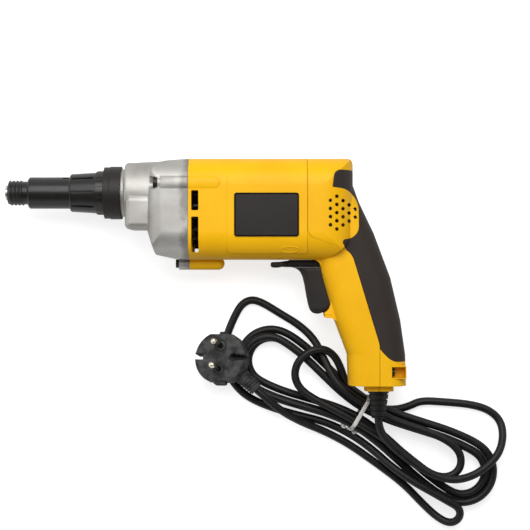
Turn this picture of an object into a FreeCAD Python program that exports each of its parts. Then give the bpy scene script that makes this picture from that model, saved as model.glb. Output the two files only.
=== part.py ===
import FreeCAD, Part
import Sketcher
import math
import os

# A corded drywall screwdriver that lies on its right side, nose towards -X, handle towards -Y.
# Every piece is drawn in the tool's own frame: X along the spindle, Y up the tool, Z out of its left
# side, with the spindle's axis on X and the joint of gear case and motor housing at X = 0.

SIZES = {
    # Fits
    "running_clearance": 0.05,
    "piece_clearance": 0.3,
    "overrun": 5.0,
    "wall": 2.8,
    # Nose, from its front end to the gear case
    "tip_length": 2.0,
    "tip_radius": 5.8,
    "bit_across_flats": 6.35,
    "bit_depth": 13.0,
    "bit_holder_length": 35.0,
    "bit_shank_length": 15.0,
    "thread_length": 12.0,
    "thread_radius": 10.1,
    "thread_chamfer": 1.0,
    "neck_length": 4.2,
    "neck_radius": 9.2,
    "nose_bore_radius": 6.8,
    "nose_spigot_length": 10.0,
    "nose_spigot_radius": 8.9,
    "tube_length": 33.6,
    "tube_radius": 12.6,
    "tube_chamfer": 1.2,
    "tube_bore_radius": 9.4,
    "tube_tail_length": 29.0,
    "tube_window_length": 4.8,
    "tube_window_width": 2.4,
    "tube_window_depth": 1.2,
    "tube_window_gap": 1.0,
    "sleeve_length": 27.2,
    "sleeve_front_radius": 15.1,
    "sleeve_rear_radius": 16.3,
    "sleeve_ring_length": 6.4,
    "sleeve_ring_radius": 17.2,
    "sleeve_journal_radius": 15.0,
    "sleeve_journal_length": 8.0,
    "flute_width": 2.0,
    "flute_depth": 0.8,
    "flute_end": 1.6,
    "collar_length": 13.6,
    "collar_front_length": 4.8,
    "collar_front_radius": 20.6,
    "collar_radius": 21.1,
    "ring_length": 3.0,
    "ring_radius": 18.9,
    "spigot_length": 5.1,
    "spigot_radius": 16.5,
    # Gear case
    "case_length": 51.4,
    "spindle_boss_radius": 23.8,
    "spindle_boss_back_radius": 26.4,
    "spindle_boss_round": 2.4,
    "pinion_boss_radius": 13.6,
    "pinion_boss_front": 1.3,
    "pinion_boss_out": 25.4,
    "pinion_boss_corner": 5.0,
    "pinion_boss_round": 4.0,
    "bell_length": 32.5,
    "bell_plan_round": 12.0,
    "bell_brow_front": 29.5,
    "bell_brow_height": 23.5,
    "bell_brow_round": 14.0,
    "bell_chin_drop": 29.9,
    "bell_sole_front": 25.8,
    "bell_sole_rise": 3.9,
    "bell_sole_round": 3.0,
    "bell_heel_front": 11.2,
    "bell_heel_rise": 0.6,
    "gear_room_radius": 14.3,
    "gear_room_length": 40.5,
    "pinion_room_radius": 6.0,
    "spindle_passage_radius": 9.4,
    "plate_gap": 1.4,
    "plate_length": 8.0,
    "plate_ledge": 2.0,
    "plate_room_length": 22.0,
    # Case screws
    "side_boss_radius": 4.8,
    "side_boss_height": 6.6,
    "side_boss_inset": 4.1,
    "side_boss_front": 23.8,
    "side_boss_back": 22.6,
    "lower_boss_radius": 4.9,
    "lower_boss_drop": 56.5,
    "lower_boss_front": 8.6,
    "lower_boss_back": 27.7,
    "screw_radius": 2.0,
    "screw_length": 40.0,
    "screw_head_radius": 4.7,
    "screw_head_length": 3.4,
    "lower_screw_length": 30.0,
    "lower_screw_head_radius": 3.4,
    "lower_screw_head_length": 2.6,
    "drive_radius": 1.8,
    "drive_depth": 1.6,
    # Spindle, clutch and gears
    "spindle_radius": 6.8,
    "spindle_shoulder": 47.2,
    "shoulder_radius": 9.0,
    "clutch_plate_radius": 11.5,
    "clutch_plate_length": 3.0,
    "clutch_gap": 3.2,
    "spring_room_radius": 7.3,
    "spring_room_length": 8.0,
    "spring_radius": 6.8,
    "spring_wire": 1.2,
    "spindle_bore_length": 18.0,
    "bush_radius": 11.0,
    "bush_length": 11.5,
    "washer_length": 0.8,
    "retaining_ring_width": 1.6,
    "retaining_ring_depth": 0.7,
    "retaining_ring_back": 5.0,
    "gear_pin_radius": 4.0,
    "gear_pin_front": 50.0,
    "gear_front": 32.8,
    "gear_hub_radius": 8.0,
    "gear_hub_length": 6.8,
    "gear_back": 14.0,
    "tooth_module": 0.8,
    "motor_drop": 16.0,
    # Motor
    "shaft_radius": 4.0,
    "shaft_back": 98.5,
    "pinion_front": 28.0,
    "pinion_back": 12.0,
    "journal_radius": 2.1,
    "journal_front": 46.5,
    "journal_bush_radius": 3.8,
    "journal_bush_length": 6.0,
    "front_bearing_radius": 11.0,
    "front_bearing_length": 7.0,
    "fan_front": 4.0,
    "fan_length": 10.0,
    "fan_gap": 1.5,
    "fan_hub_radius": 8.0,
    "fan_disc": 1.6,
    "fan_blade": 1.6,
    "core_front": 32.0,
    "core_length": 42.0,
    "core_radius": 16.0,
    "core_slot_width": 1.8,
    "core_slot_depth": 3.0,
    "winding_radius": 13.5,
    "winding_front_length": 9.0,
    "winding_back_length": 3.0,
    "stator_gap": 3.4,
    "stator_bore_radius": 16.6,
    "stator_rib_length": 4.0,
    "stator_rib_inset": 2.0,
    "commutator_front": 80.0,
    "commutator_length": 11.5,
    "commutator_radius": 10.5,
    "brush_ring_front": 78.0,
    "brush_ring_length": 4.0,
    "brush_tube_radius": 14.0,
    "brush_tube_bore_radius": 11.9,
    "rear_bearing_radius": 9.5,
    "rear_bearing_length": 6.0,
    "brush_width": 6.0,
    "brush_depth": 8.0,
    "brush_holder_wall": 0.9,
    "brush_holder_inset": 1.2,
    # Motor housing
    "barrel_top": 26.6,
    "barrel_height": 80.0,
    "barrel_width": 66.4,
    "barrel_corner": 22.0,
    "barrel_length": 93.0,
    "rear_length": 36.6,
    "rear_top_round": 6.0,
    "rear_plan_round": 24.0,
    "rear_lower_round": 30.0,
    "rib_root": 0.4,
    "panel_raise": 0.8,
    "panel_front": 30.4,
    "panel_top": 18.8,
    "panel_round": 9.6,
    "panel_low": 5.0,
    "panel_low_round": 4.0,
    "plate_left": 36.0,
    "plate_right": 86.4,
    "plate_top": 1.4,
    "plate_bottom": 35.4,
    "plate_corner": 2.0,
    "plate_thickness": 1.0,
    "plate_depth": 0.6,
    "vent_front": 2.6,
    "vent_length": 5.5,
    "vent_round": 1.0,
    "vent_top": 0.6,
    "vent_upper_height": 15.6,
    "vent_gap": 5.0,
    "vent_lower_height": 27.6,
    "air_guide": 2.0,
    "hole_radius": 1.4,
    "hole_pitch": 6.35,
    "hole_column": 5.0,
    "hole_field_left": 111.0,
    "hole_field_middle": 16.8,
    # Handle
    "handle_reach": 172.2,
    "handle_drop": 153.3,
    "handle_width": 40.0,
    "handle_corner": 14.0,
    "seam_gap": 0.25,
    "seam_round": 8.0,
    "seam_knee_round": 14.0,
    "lip_front": 106.7,
    "lip_back": 122.0,
    "lip_drop": 97.4,
    "lip_height": 14.0,
    "lip_thickness": 2.2,
    "lip_neck": 115.5,
    "lip_bend": 8.0,
    "lip_round": 0.8,
    "lip_width": 24.0,
    "grip_skin": 1.4,
    "foot_height": 4.6,
    "foot_front": 139.7,
    "foot_back": 162.2,
    "foot_width": 24.0,
    "foot_round": 5.0,
    "boot_radius": 8.4,
    "boot_end_radius": 5.4,
    "boot_length": 22.0,
    "boot_root_length": 8.0,
    "boot_root_radius": 6.4,
    "boot_x": 150.8,
    # Trigger, lever and switch
    "trigger_front": 75.2,
    "trigger_depth": 42.3,
    "trigger_drop": 59.4,
    "trigger_height": 37.4,
    "trigger_width": 17.0,
    "lever_front": 64.5,
    "lever_pivot": 128.0,
    "lever_gap": 0.5,
    "lever_height": 5.0,
    "lever_width": 7.2,
    "lever_round": 2.2,
    "lever_pin_radius": 2.0,
    "paddle_length": 9.9,
    "paddle_width": 14.0,
    "stem_radius": 3.0,
    "stem_length": 8.0,
    "lever_mouth_width": 15.0,
    "switch_front": 124.3,
    "switch_length": 20.0,
    "switch_drop": 62.0,
    "switch_height": 30.0,
    "switch_width": 24.0,
    "switch_rib_inset": 1.5,
    "switch_rib_length": 4.0,
    "saddle_length": 10.0,
    "clamp_rise": 31.3,
    "clamp_length": 3.0,
    "clamp_width": 24.0,
    "inner_lead_length": 36.0,
    "boot_groove": 1.0,
    "cover_screw_rise": 11.0,
    "cover_screw_out": 13.0,
    "cover_screw_length": 16.0,
    "cover_screw_head_radius": 3.2,
    "cover_screw_head_length": 2.4,
    "notch_front": 160.0,
    "notch_length": 10.6,
    "notch_height": 8.6,
    "notch_wall": 0.7,
    "post_length": 14.0,
    "post_width": 10.0,
    "clamp_height": 8.0,
    "clamp_screw_radius": 1.5,
    "clamp_screw_length": 8.0,
    "clamp_screw_out": 8.0,
    "cord_diameter": 6.4,
    # Hank of the cord: its middle from the boot's end, its turns, waist and layers
    "hank_before_boot": 13.1,
    "hank_above_boot": 2.05,
    "hank_left": 84.0,
    "hank_right": 96.0,
    "hank_turn_radius": 19.2,
    "hank_turn_step": 7.2,
    "hank_waist": 3.75,
    "hank_waist_step": 7.5,
    "hank_layer_step": 6.9,
    "cord_exit": 8.0,
    "cord_meet": 9.1,
    "cord_enter": 11.0,
    "tie_thickness": 0.85,
    "tie_width": 4.0,
    "tie_reach": 14.75,
    "tie_shoulder": 12.6,
    "tie_top_reach": 10.9,
    "tie_top": 21.85,
    "tie_round": 2.5,
    # Plug: its face from the hank's middle, towards the loop end, sideways and up
    "plug_along": 122.1,
    "plug_aside": 17.2,
    "plug_height": 26.0,
    "plug_radius": 21.3,
    "plug_flat": 19.0,
    "plug_thickness": 12.0,
    "plug_neck_start": 8.0,
    "plug_neck_length": 37.0,
    "plug_neck_radius": 7.4,
    "plug_neck_end_radius": 5.2,
    "plug_recess_radius": 4.9,
    "plug_recess_depth": 1.2,
    "plug_notch_width": 4.0,
    "plug_notch_length": 6.9,
    "plug_notch_depth": 9.0,
    "earth_hole_radius": 2.6,
    "earth_hole_out": 11.3,
    "earth_slot_width": 2.4,
    "pin_spacing": 19.0,
    "pin_radius": 2.4,
    "pin_length": 19.0,
    "pin_root": 6.0,
    "pin_root_radius": 2.0,
}

doc = FreeCAD.newDocument("drywall_screwdriver")
dim = doc.addObject("Spreadsheet::Sheet", "dim")
for row, (alias, number) in enumerate(SIZES.items(), start=1):
    dim.set(f"A{row}", alias)
    dim.set(f"B{row}", str(number))
    dim.setAlias(f"B{row}", alias)
doc.recompute()

# Places along the tool, from the joint of gear case and motor housing
RING_FRONT = "-(dim.case_length + dim.ring_length)"
COLLAR_FRONT = f"({RING_FRONT} - dim.collar_length)"
SLEEVE_FRONT = f"({COLLAR_FRONT} - dim.sleeve_length)"
TUBE_FRONT = f"({SLEEVE_FRONT} - dim.tube_length)"
NECK_FRONT = f"({TUBE_FRONT} - dim.neck_length)"
THREAD_FRONT = f"({NECK_FRONT} - dim.thread_length)"
NOSE_FRONT = f"({THREAD_FRONT} - dim.tip_length)"
SPIGOT_FRONT = f"({RING_FRONT} - dim.spigot_length)"
BARREL_BACK = "(dim.barrel_length + dim.rear_length)"
BARREL_BOTTOM = "(dim.barrel_top - dim.barrel_height)"
BARREL_MIDDLE = "(dim.barrel_top - dim.barrel_height / 2)"
BARREL_ROOM = "(dim.barrel_width / 2 - dim.wall)"
MID_PLATE_RADIUS = f"({BARREL_ROOM} - dim.plate_gap)"
STATOR_RADIUS = f"({BARREL_ROOM} - dim.stator_gap)"
FOOT_BOTTOM = "-(dim.handle_drop + dim.foot_height)"
CLAMP_TOP = "(dim.clamp_rise - dim.handle_drop)"
COVER_SCREW_Y = "(dim.cover_screw_rise - dim.handle_drop)"
BOOT_END = f"({FOOT_BOTTOM} - dim.boot_length)"

# The tool's frame in the part's: centred on its outline, resting on the panel of its right side
FRAME = {
    "x": f"-({NOSE_FRONT} + dim.handle_reach) / 2",
    "y": f"-(dim.barrel_top + {FOOT_BOTTOM}) / 2",
    "z": "dim.barrel_width / 2 + dim.panel_raise",
}
SPINDLE = {"x": "0", "y": "0", "z": "0"}
MOTOR = {"x": "0", "y": "-dim.motor_drop", "z": "0"}
PLANES = {
    "XY": FreeCAD.Rotation(),
    "YZ": FreeCAD.Rotation(FreeCAD.Vector(1, 1, 1), 120),
    "XZ": FreeCAD.Rotation(FreeCAD.Vector(1, 0, 0), 90),
}
OUT_OF_PLANE = {"XY": "z", "YZ": "x", "XZ": "y"}
ALONG = {
    "x": FreeCAD.Rotation(FreeCAD.Vector(0, 1, 0), 90),
    "y": FreeCAD.Rotation(FreeCAD.Vector(1, 0, 0), -90),
    "z": FreeCAD.Rotation(),
}
nodes = {}


def value(expression):
    """The number that an expression of sizes gives."""
    return float(dim.evalExpression(expression))


def bind(feature, expressions):
    for path, expression in expressions.items():
        feature.setExpression(path, expression)


def seat(feature, label, place=SPINDLE):
    """Name a finished piece and set it in the part's frame."""
    feature.Label = label
    bind(feature, {f"Placement.Base.{way}": f"{FRAME[way]} + {place[way]}" for way in "xyz"})
    nodes[label] = feature
    return feature


def rounded_corner(before, corner, after, radius):
    """The two ends and the arc of a corner rounded with a radius."""
    back = (before - corner).normalize()
    ahead = (after - corner).normalize()
    half_angle = back.getAngle(ahead) / 2
    reach = radius / math.tan(half_angle)
    centre = corner + (back + ahead).normalize() * (radius / math.sin(half_angle))
    entry = corner + back * reach
    leave = corner + ahead * reach
    turns_left = back.cross(ahead).z < 0
    first, last = (entry, leave) if turns_left else (leave, entry)
    first_angle = math.atan2(first.y - centre.y, first.x - centre.x)
    last_angle = math.atan2(last.y - centre.y, last.x - centre.x)
    if last_angle < first_angle:
        last_angle += 2 * math.pi
    circle = Part.Circle(centre, FreeCAD.Vector(0, 0, 1), radius)
    return entry, leave, Part.ArcOfCircle(circle, first_angle, last_angle), turns_left


def draw(sketch, corners):
    """Draw a closed outline. A corner is two expressions, or three where it is rounded."""
    spots = [FreeCAD.Vector(value(corner[0]), value(corner[1]), 0) for corner in corners]
    count = len(corners)
    ends = list(spots)
    starts = list(spots)
    arcs = {}
    for index, corner in enumerate(corners):
        if len(corner) == 3:
            after = spots[(index + 1) % count]
            bend = rounded_corner(spots[index - 1], spots[index], after, value(corner[2]))
            ends[index], starts[index] = bend[:2]
            arcs[index] = bend[2:]
    for index in range(count):
        sketch.addGeometry(Part.LineSegment(starts[index], ends[(index + 1) % count]), False)
    rules = []
    driven = []

    def sized(expression, kind, *where):
        driven.append((len(rules), expression))
        rules.append(Sketcher.Constraint(kind, *where, value(expression)))

    for index, corner in enumerate(corners):
        before = (index - 1) % count
        if index not in arcs:
            rules.append(Sketcher.Constraint("Coincident", before, 2, index, 1))
            sized(corner[0], "DistanceX", -1, 1, index, 1)
            sized(corner[1], "DistanceY", -1, 1, index, 1)
            continue
        arc, turns_left = arcs[index]
        bend = sketch.addGeometry(arc, False)
        tip = sketch.addGeometry(Part.Point(spots[index]), True)
        entry, leave = (1, 2) if turns_left else (2, 1)
        rules.append(Sketcher.Constraint("Tangent", before, 2, bend, entry))
        rules.append(Sketcher.Constraint("Tangent", bend, leave, index, 1))
        rules.append(Sketcher.Constraint("PointOnObject", tip, 1, before))
        rules.append(Sketcher.Constraint("PointOnObject", tip, 1, index))
        sized(corner[0], "DistanceX", -1, 1, tip, 1)
        sized(corner[1], "DistanceY", -1, 1, tip, 1)
        sized(corner[2], "Radius", bend)
    sketch.addConstraint(rules)
    for number, expression in driven:
        sketch.setExpression(f"Constraints[{number}]", expression)


def loose_sketch(name, plane, offset, corners):
    """An outline on a plane that stands off from the tool's origin."""
    sketch = doc.addObject("Sketcher::SketchObject", name)
    sketch.Placement = FreeCAD.Placement(FreeCAD.Vector(), PLANES[plane])
    sketch.setExpression(f"Placement.Base.{OUT_OF_PLANE[plane]}", offset)
    draw(sketch, corners)
    return sketch


def extrude(name, sketch, length, both_ways=False):
    """A prism over a sketch, along its normal or half each way."""
    prism = doc.addObject("Part::Extrusion", name)
    prism.Base = sketch
    prism.DirMode = "Normal"
    prism.Solid = True
    prism.Symmetric = both_ways
    prism.setExpression("LengthFwd", length)
    return prism


def rod(name, radius, start, length, along="x", y="0", z="0", x="0"):
    """A round bar along X, Y or Z that starts at a place on that axis."""
    bar = doc.addObject("Part::Cylinder", name)
    bar.Placement = FreeCAD.Placement(FreeCAD.Vector(), ALONG[along])
    place = {"x": x, "y": y, "z": z}
    place[along] = start
    bind(bar, {"Radius": radius, "Height": length})
    bind(bar, {f"Placement.Base.{way}": place[way] for way in "xyz"})
    return bar


def ball(name, radius, x, y, z):
    """A round end for a bar."""
    end = doc.addObject("Part::Sphere", name)
    bind(end, {"Radius": radius, "Placement.Base.x": x, "Placement.Base.y": y, "Placement.Base.z": z})
    return end


def block(name, low, size):
    """A box from its lowest corner and its size along X, Y and Z."""
    box = doc.addObject("Part::Box", name)
    bind(box, {f"Placement.Base.{way}": low[index] for index, way in enumerate("xyz")})
    bind(box, {"Length": size[0], "Width": size[1], "Height": size[2]})
    return box


def join(name, pieces):
    fused = doc.addObject("Part::MultiFuse", name)
    fused.Shapes = pieces
    fused.Refine = True
    return fused


def cut(name, base, tool):
    remainder = doc.addObject("Part::Cut", name)
    remainder.Base = base
    remainder.Tool = tool
    remainder.Refine = True
    return remainder


def common(name, pieces):
    shared = doc.addObject("Part::MultiCommon", name)
    shared.Shapes = pieces
    shared.Refine = True
    return shared


def loft(name, sections):
    skin = doc.addObject("Part::Loft", name)
    skin.Sections = sections
    skin.Solid = True
    skin.Ruled = True
    return skin


def origin_plane(body, role):
    return [plane for plane in body.Origin.OriginFeatures if plane.Role == role][0]


def turned(label, corners, place=SPINDLE, axis="H_Axis"):
    """A piece turned from its half section, about X (H_Axis) or about Y (V_Axis)."""
    body = doc.addObject("PartDesign::Body", label)
    sketch = body.newObject("Sketcher::SketchObject", f"{label}_section")
    sketch.AttachmentSupport = (origin_plane(body, "XY_Plane"), [""])
    sketch.MapMode = "FlatFace"
    draw(sketch, corners)
    turn = body.newObject("PartDesign::Revolution", f"{label}_turn")
    turn.Profile = sketch
    turn.ReferenceAxis = (sketch, [axis])
    return seat(body, label, place)


def shaped(label, shape, place=SPINDLE):
    """A piece whose form is worked out point by point from the sheet."""
    feature = doc.addObject("Part::Feature", label)
    feature.Shape = shape
    return seat(feature, label, place)


# Nose tip: a short tube with the coarse outer thread, spigotted into the nose tube
SPIGOT_END = f"({TUBE_FRONT} + dim.nose_spigot_length)"
turned("nose_tip", [
    (THREAD_FRONT, "dim.nose_bore_radius"),
    (THREAD_FRONT, "dim.thread_radius - dim.thread_chamfer"),
    (f"{THREAD_FRONT} + dim.thread_chamfer", "dim.thread_radius"),
    (NECK_FRONT, "dim.thread_radius"),
    (NECK_FRONT, "dim.neck_radius"),
    (TUBE_FRONT, "dim.neck_radius"),
    (TUBE_FRONT, "dim.nose_spigot_radius"),
    (SPIGOT_END, "dim.nose_spigot_radius"),
    (SPIGOT_END, "dim.nose_bore_radius"),
])

# Nose tube: slides in the adjusting sleeve, with a small index window in front of it
TUBE_BACK = f"({SLEEVE_FRONT} + dim.tube_tail_length)"
nose_tube = turned("nose_tube", [
    (TUBE_FRONT, "dim.nose_spigot_radius + dim.running_clearance"),
    (TUBE_FRONT, "dim.tube_radius - dim.tube_chamfer"),
    (f"{TUBE_FRONT} + dim.tube_chamfer", "dim.tube_radius"),
    (TUBE_BACK, "dim.tube_radius"),
    (TUBE_BACK, "dim.tube_bore_radius"),
    (SPIGOT_END, "dim.tube_bore_radius"),
    (SPIGOT_END, "dim.nose_spigot_radius + dim.running_clearance"),
])
WINDOW_TURN = 60
window = nose_tube.newObject("PartDesign::SubtractiveBox", "nose_tube_window")
window.Placement = FreeCAD.Placement(FreeCAD.Vector(), FreeCAD.Rotation(FreeCAD.Vector(1, 0, 0), -WINDOW_TURN))
bind(window, {
    "Length": "dim.tube_window_length",
    "Width": "dim.tube_window_width",
    "Height": "dim.tube_window_depth + dim.overrun",
    "Placement.Base.x": f"{SLEEVE_FRONT} - dim.tube_window_length - dim.tube_window_gap",
    "Placement.Base.y": f"sin({WINDOW_TURN}) * (dim.tube_radius - dim.tube_window_depth)",
    "Placement.Base.z": f"cos({WINDOW_TURN}) * (dim.tube_radius - dim.tube_window_depth)",
})

# Adjusting sleeve: a tapered finger grip with eight flutes, a marked ring and a journal in the collar
RING_START = f"({COLLAR_FRONT} - dim.sleeve_ring_length)"
JOURNAL_END = f"({COLLAR_FRONT} + dim.sleeve_journal_length)"
SLEEVE_BORE = "dim.tube_radius + dim.piece_clearance"
adjusting_sleeve = turned("adjusting_sleeve", [
    (SLEEVE_FRONT, SLEEVE_BORE),
    (SLEEVE_FRONT, "dim.sleeve_front_radius - dim.flute_depth"),
    (f"{SLEEVE_FRONT} + dim.flute_depth", "dim.sleeve_front_radius"),
    (RING_START, "dim.sleeve_rear_radius"),
    (RING_START, "dim.sleeve_ring_radius"),
    (COLLAR_FRONT, "dim.sleeve_ring_radius"),
    (COLLAR_FRONT, "dim.sleeve_journal_radius"),
    (JOURNAL_END, "dim.sleeve_journal_radius"),
    (JOURNAL_END, SLEEVE_BORE),
])
FLUTES = 8
flute = adjusting_sleeve.newObject("PartDesign::SubtractiveBox", "adjusting_sleeve_flute")
bind(flute, {
    "Length": "dim.sleeve_length - dim.sleeve_ring_length - 2 * dim.flute_end",
    "Width": "dim.flute_width",
    "Height": "dim.overrun",
    "Placement.Base.x": f"{SLEEVE_FRONT} + dim.flute_end",
    "Placement.Base.y": "-dim.flute_width / 2",
    "Placement.Base.z": "dim.sleeve_front_radius - dim.flute_depth",
})
flutes = adjusting_sleeve.newObject("PartDesign::PolarPattern", "adjusting_sleeve_flutes")
flutes.Originals = [flute]
flutes.Axis = (origin_plane(adjusting_sleeve, "X_Axis"), [""])
flutes.Angle = 360
flutes.Occurrences = FLUTES
adjusting_sleeve.Tip = flutes

# Nose collar: holds the sleeve's journal and screws on the gear case's spigot
COLLAR_STEP = f"({COLLAR_FRONT} + dim.collar_front_length)"
turned("nose_collar", [
    (COLLAR_FRONT, "dim.sleeve_journal_radius + dim.running_clearance"),
    (COLLAR_FRONT, "dim.collar_front_radius"),
    (COLLAR_STEP, "dim.collar_front_radius"),
    (COLLAR_STEP, "dim.collar_radius"),
    (RING_FRONT, "dim.collar_radius"),
    (RING_FRONT, "dim.spigot_radius + dim.running_clearance"),
    (SPIGOT_FRONT, "dim.spigot_radius + dim.running_clearance"),
    (SPIGOT_FRONT, "dim.sleeve_journal_radius + dim.running_clearance"),
])

# Output spindle: runs in the spindle bush, with the clutch plate and the spring's room at its back
CLUTCH_BACK = "-(dim.gear_front + dim.clutch_gap)"
SPRING_FLOOR = f"({CLUTCH_BACK} - dim.spring_room_length)"
SPINDLE_BORE = "dim.gear_pin_radius + dim.running_clearance"
SPINDLE_BORE_END = f"({CLUTCH_BACK} - dim.spindle_bore_length)"
PLATE_FRONT = f"({CLUTCH_BACK} - dim.clutch_plate_length)"
SPINDLE_FRONT = f"({NOSE_FRONT} + dim.bit_holder_length)"
RETAINER_START = f"({SPINDLE_FRONT} + dim.retaining_ring_back)"
RETAINER_END = f"({RETAINER_START} + dim.retaining_ring_width)"
RETAINER_FLOOR = "(dim.spindle_radius - dim.retaining_ring_depth)"
output_spindle = turned("output_spindle", [
    (SPINDLE_FRONT, "0"),
    (SPINDLE_FRONT, "dim.spindle_radius"),
    (RETAINER_START, "dim.spindle_radius"),
    (RETAINER_START, RETAINER_FLOOR),
    (RETAINER_END, RETAINER_FLOOR),
    (RETAINER_END, "dim.spindle_radius"),
    ("-dim.spindle_shoulder", "dim.spindle_radius"),
    ("-dim.spindle_shoulder", "dim.shoulder_radius"),
    (PLATE_FRONT, "dim.shoulder_radius"),
    (PLATE_FRONT, "dim.clutch_plate_radius"),
    (CLUTCH_BACK, "dim.clutch_plate_radius"),
    (CLUTCH_BACK, "dim.spring_room_radius"),
    (SPRING_FLOOR, "dim.spring_room_radius"),
    (SPRING_FLOOR, SPINDLE_BORE),
    (SPINDLE_BORE_END, SPINDLE_BORE),
    (SPINDLE_BORE_END, "0"),
])


def hexagon(body, name, across_flats):
    """A hexagon on the YZ plane of a body, flats up and down."""
    sketch = body.newObject("Sketcher::SketchObject", name)
    sketch.AttachmentSupport = (origin_plane(body, "YZ_Plane"), [""])
    sketch.MapMode = "FlatFace"
    shares = [(math.cos(math.radians(turn)), math.sin(math.radians(turn))) for turn in range(30, 390, 60)]
    corner_reach = f"({across_flats}) / (2 * cos(30))"
    draw(sketch, [(f"{corner_reach} * {across}", f"{corner_reach} * {up}") for across, up in shares])
    return sketch


def hex_pocket(body, name, across_flats, mouth, depth):
    """A hexagon socket that opens towards the nose."""
    pocket = body.newObject("PartDesign::Pocket", name)
    pocket.Profile = hexagon(body, f"{name}_outline", across_flats)
    pocket.Profile[0].setExpression("AttachmentOffset.Base.z", mouth)
    pocket.Reversed = True
    pocket.setExpression("Length", depth)
    return pocket


# Bit holder: a hexagon socket for the bit, with a hexagon shank in the spindle's front end
hex_pocket(output_spindle, "output_spindle_socket", "dim.bit_across_flats + 2 * dim.running_clearance",
           SPINDLE_FRONT, "dim.bit_shank_length + dim.piece_clearance")
bit_holder = turned("bit_holder", [
    (NOSE_FRONT, "0"),
    (NOSE_FRONT, "dim.tip_radius"),
    (SPINDLE_FRONT, "dim.tip_radius"),
    (SPINDLE_FRONT, "0"),
])
shank = bit_holder.newObject("PartDesign::Pad", "bit_holder_shank")
shank.Profile = hexagon(bit_holder, "bit_holder_shank_outline", "dim.bit_across_flats")
shank.Profile[0].setExpression("AttachmentOffset.Base.z", SPINDLE_FRONT)
shank.setExpression("Length", "dim.bit_shank_length")
hex_pocket(bit_holder, "bit_holder_socket", "dim.bit_across_flats", NOSE_FRONT, "dim.bit_depth")

# Retaining ring: a spring wire ring in the spindle's groove
turned("retaining_ring", [
    (f"{RETAINER_START} + dim.running_clearance", f"{RETAINER_FLOOR} + dim.running_clearance"),
    (f"{RETAINER_START} + dim.running_clearance", "dim.spindle_radius + dim.running_clearance"),
    (f"{RETAINER_END} - dim.running_clearance", "dim.spindle_radius + dim.running_clearance"),
    (f"{RETAINER_END} - dim.running_clearance", f"{RETAINER_FLOOR} + dim.running_clearance"),
])

# Spindle bush: sintered bronze, pressed into the gear case from the front
BUSH_BACK = "-(dim.spindle_shoulder + dim.piece_clearance)"
turned("spindle_bush", [
    (f"{BUSH_BACK} - dim.bush_length", "dim.spindle_radius + dim.running_clearance"),
    (f"{BUSH_BACK} - dim.bush_length", "dim.bush_radius"),
    (BUSH_BACK, "dim.bush_radius"),
    (BUSH_BACK, "dim.spindle_radius + dim.running_clearance"),
])

# Thrust washer and clutch spring: they press the spindle forward, away from the drive gear
WASHER_BACK = f"({SPRING_FLOOR} + dim.washer_length)"
turned("thrust_washer", [
    (SPRING_FLOOR, "dim.gear_pin_radius + dim.piece_clearance"),
    (SPRING_FLOOR, "dim.spring_room_radius - dim.piece_clearance"),
    (WASHER_BACK, "dim.spring_room_radius - dim.piece_clearance"),
    (WASHER_BACK, "dim.gear_pin_radius + dim.piece_clearance"),
])
turned("clutch_spring", [
    (WASHER_BACK, "dim.spring_radius - dim.spring_wire"),
    (WASHER_BACK, "dim.spring_radius"),
    ("-dim.gear_front", "dim.spring_radius"),
    ("-dim.gear_front", "dim.spring_radius - dim.spring_wire"),
])

# Drive gear and pinion: spur teeth with straight flanks and free play
GEAR_TEETH = 32
PINION_TEETH = 8
TOOTH_TIP_SHARE = 0.8
TOOTH_ROOT_SHARE = 1.2
TOOTH_ROOT_WIDTH_SHARE = 0.3
TOOTH_TIP_WIDTH_SHARE = 0.09
GEAR_PHASE_SHARE = 0.5
PINION_PHASE_SHARE = 0


def toothed(teeth, start, end, first_tooth):
    """A toothed bar along X. first_tooth is the turn of one tooth, in shares of the tooth pitch."""
    module = value("dim.tooth_module")
    tip = module * (teeth / 2 + TOOTH_TIP_SHARE)
    root = module * (teeth / 2 - TOOTH_ROOT_SHARE)
    pitch = 2 * math.pi / teeth
    flank = ((-TOOTH_ROOT_WIDTH_SHARE, root), (-TOOTH_TIP_WIDTH_SHARE, tip),
             (TOOTH_TIP_WIDTH_SHARE, tip), (TOOTH_ROOT_WIDTH_SHARE, root))
    points = []
    for tooth in range(teeth):
        for share, radius in flank:
            turn = (tooth + first_tooth + share) * pitch
            points.append(FreeCAD.Vector(start, radius * math.cos(turn), radius * math.sin(turn)))
    face = Part.Face(Part.makePolygon(points + points[:1]))
    return face.extrude(FreeCAD.Vector(end - start, 0, 0))


def plain_rod(radius, start, end):
    along_x = FreeCAD.Vector(1, 0, 0)
    return Part.makeCylinder(radius, end - start, FreeCAD.Vector(start, 0, 0), along_x)


HUB_BACK = value("-dim.gear_front + dim.gear_hub_length")
gear_shape = toothed(GEAR_TEETH, HUB_BACK, value("-dim.gear_back"), GEAR_PHASE_SHARE)
gear_shape = gear_shape.fuse(plain_rod(value("dim.gear_hub_radius"), value("-dim.gear_front"), HUB_BACK))
gear_bore = plain_rod(value(SPINDLE_BORE), value("-dim.gear_front - dim.overrun"), value("dim.overrun"))
shaped("drive_gear", gear_shape.cut(gear_bore))

# Gear pin: pressed into the mid plate, carries the drive gear and guides the spindle's tail
turned("gear_pin", [
    ("-dim.gear_pin_front", "0"),
    ("-dim.gear_pin_front", "dim.gear_pin_radius"),
    ("0", "dim.gear_pin_radius"),
    ("0", "0"),
])


def barrel_section(name, inset, offset):
    """The motor barrel's rounded section, drawn in from its outside."""
    low, high = f"{BARREL_BOTTOM} + {inset}", f"dim.barrel_top - {inset}"
    half = f"(dim.barrel_width / 2 - {inset})"
    corner = f"dim.barrel_corner - {inset}"
    corners = [(low, f"-{half}", corner), (high, f"-{half}", corner), (high, half, corner), (low, half, corner)]
    return loose_sketch(name, "YZ", offset, corners)


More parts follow.
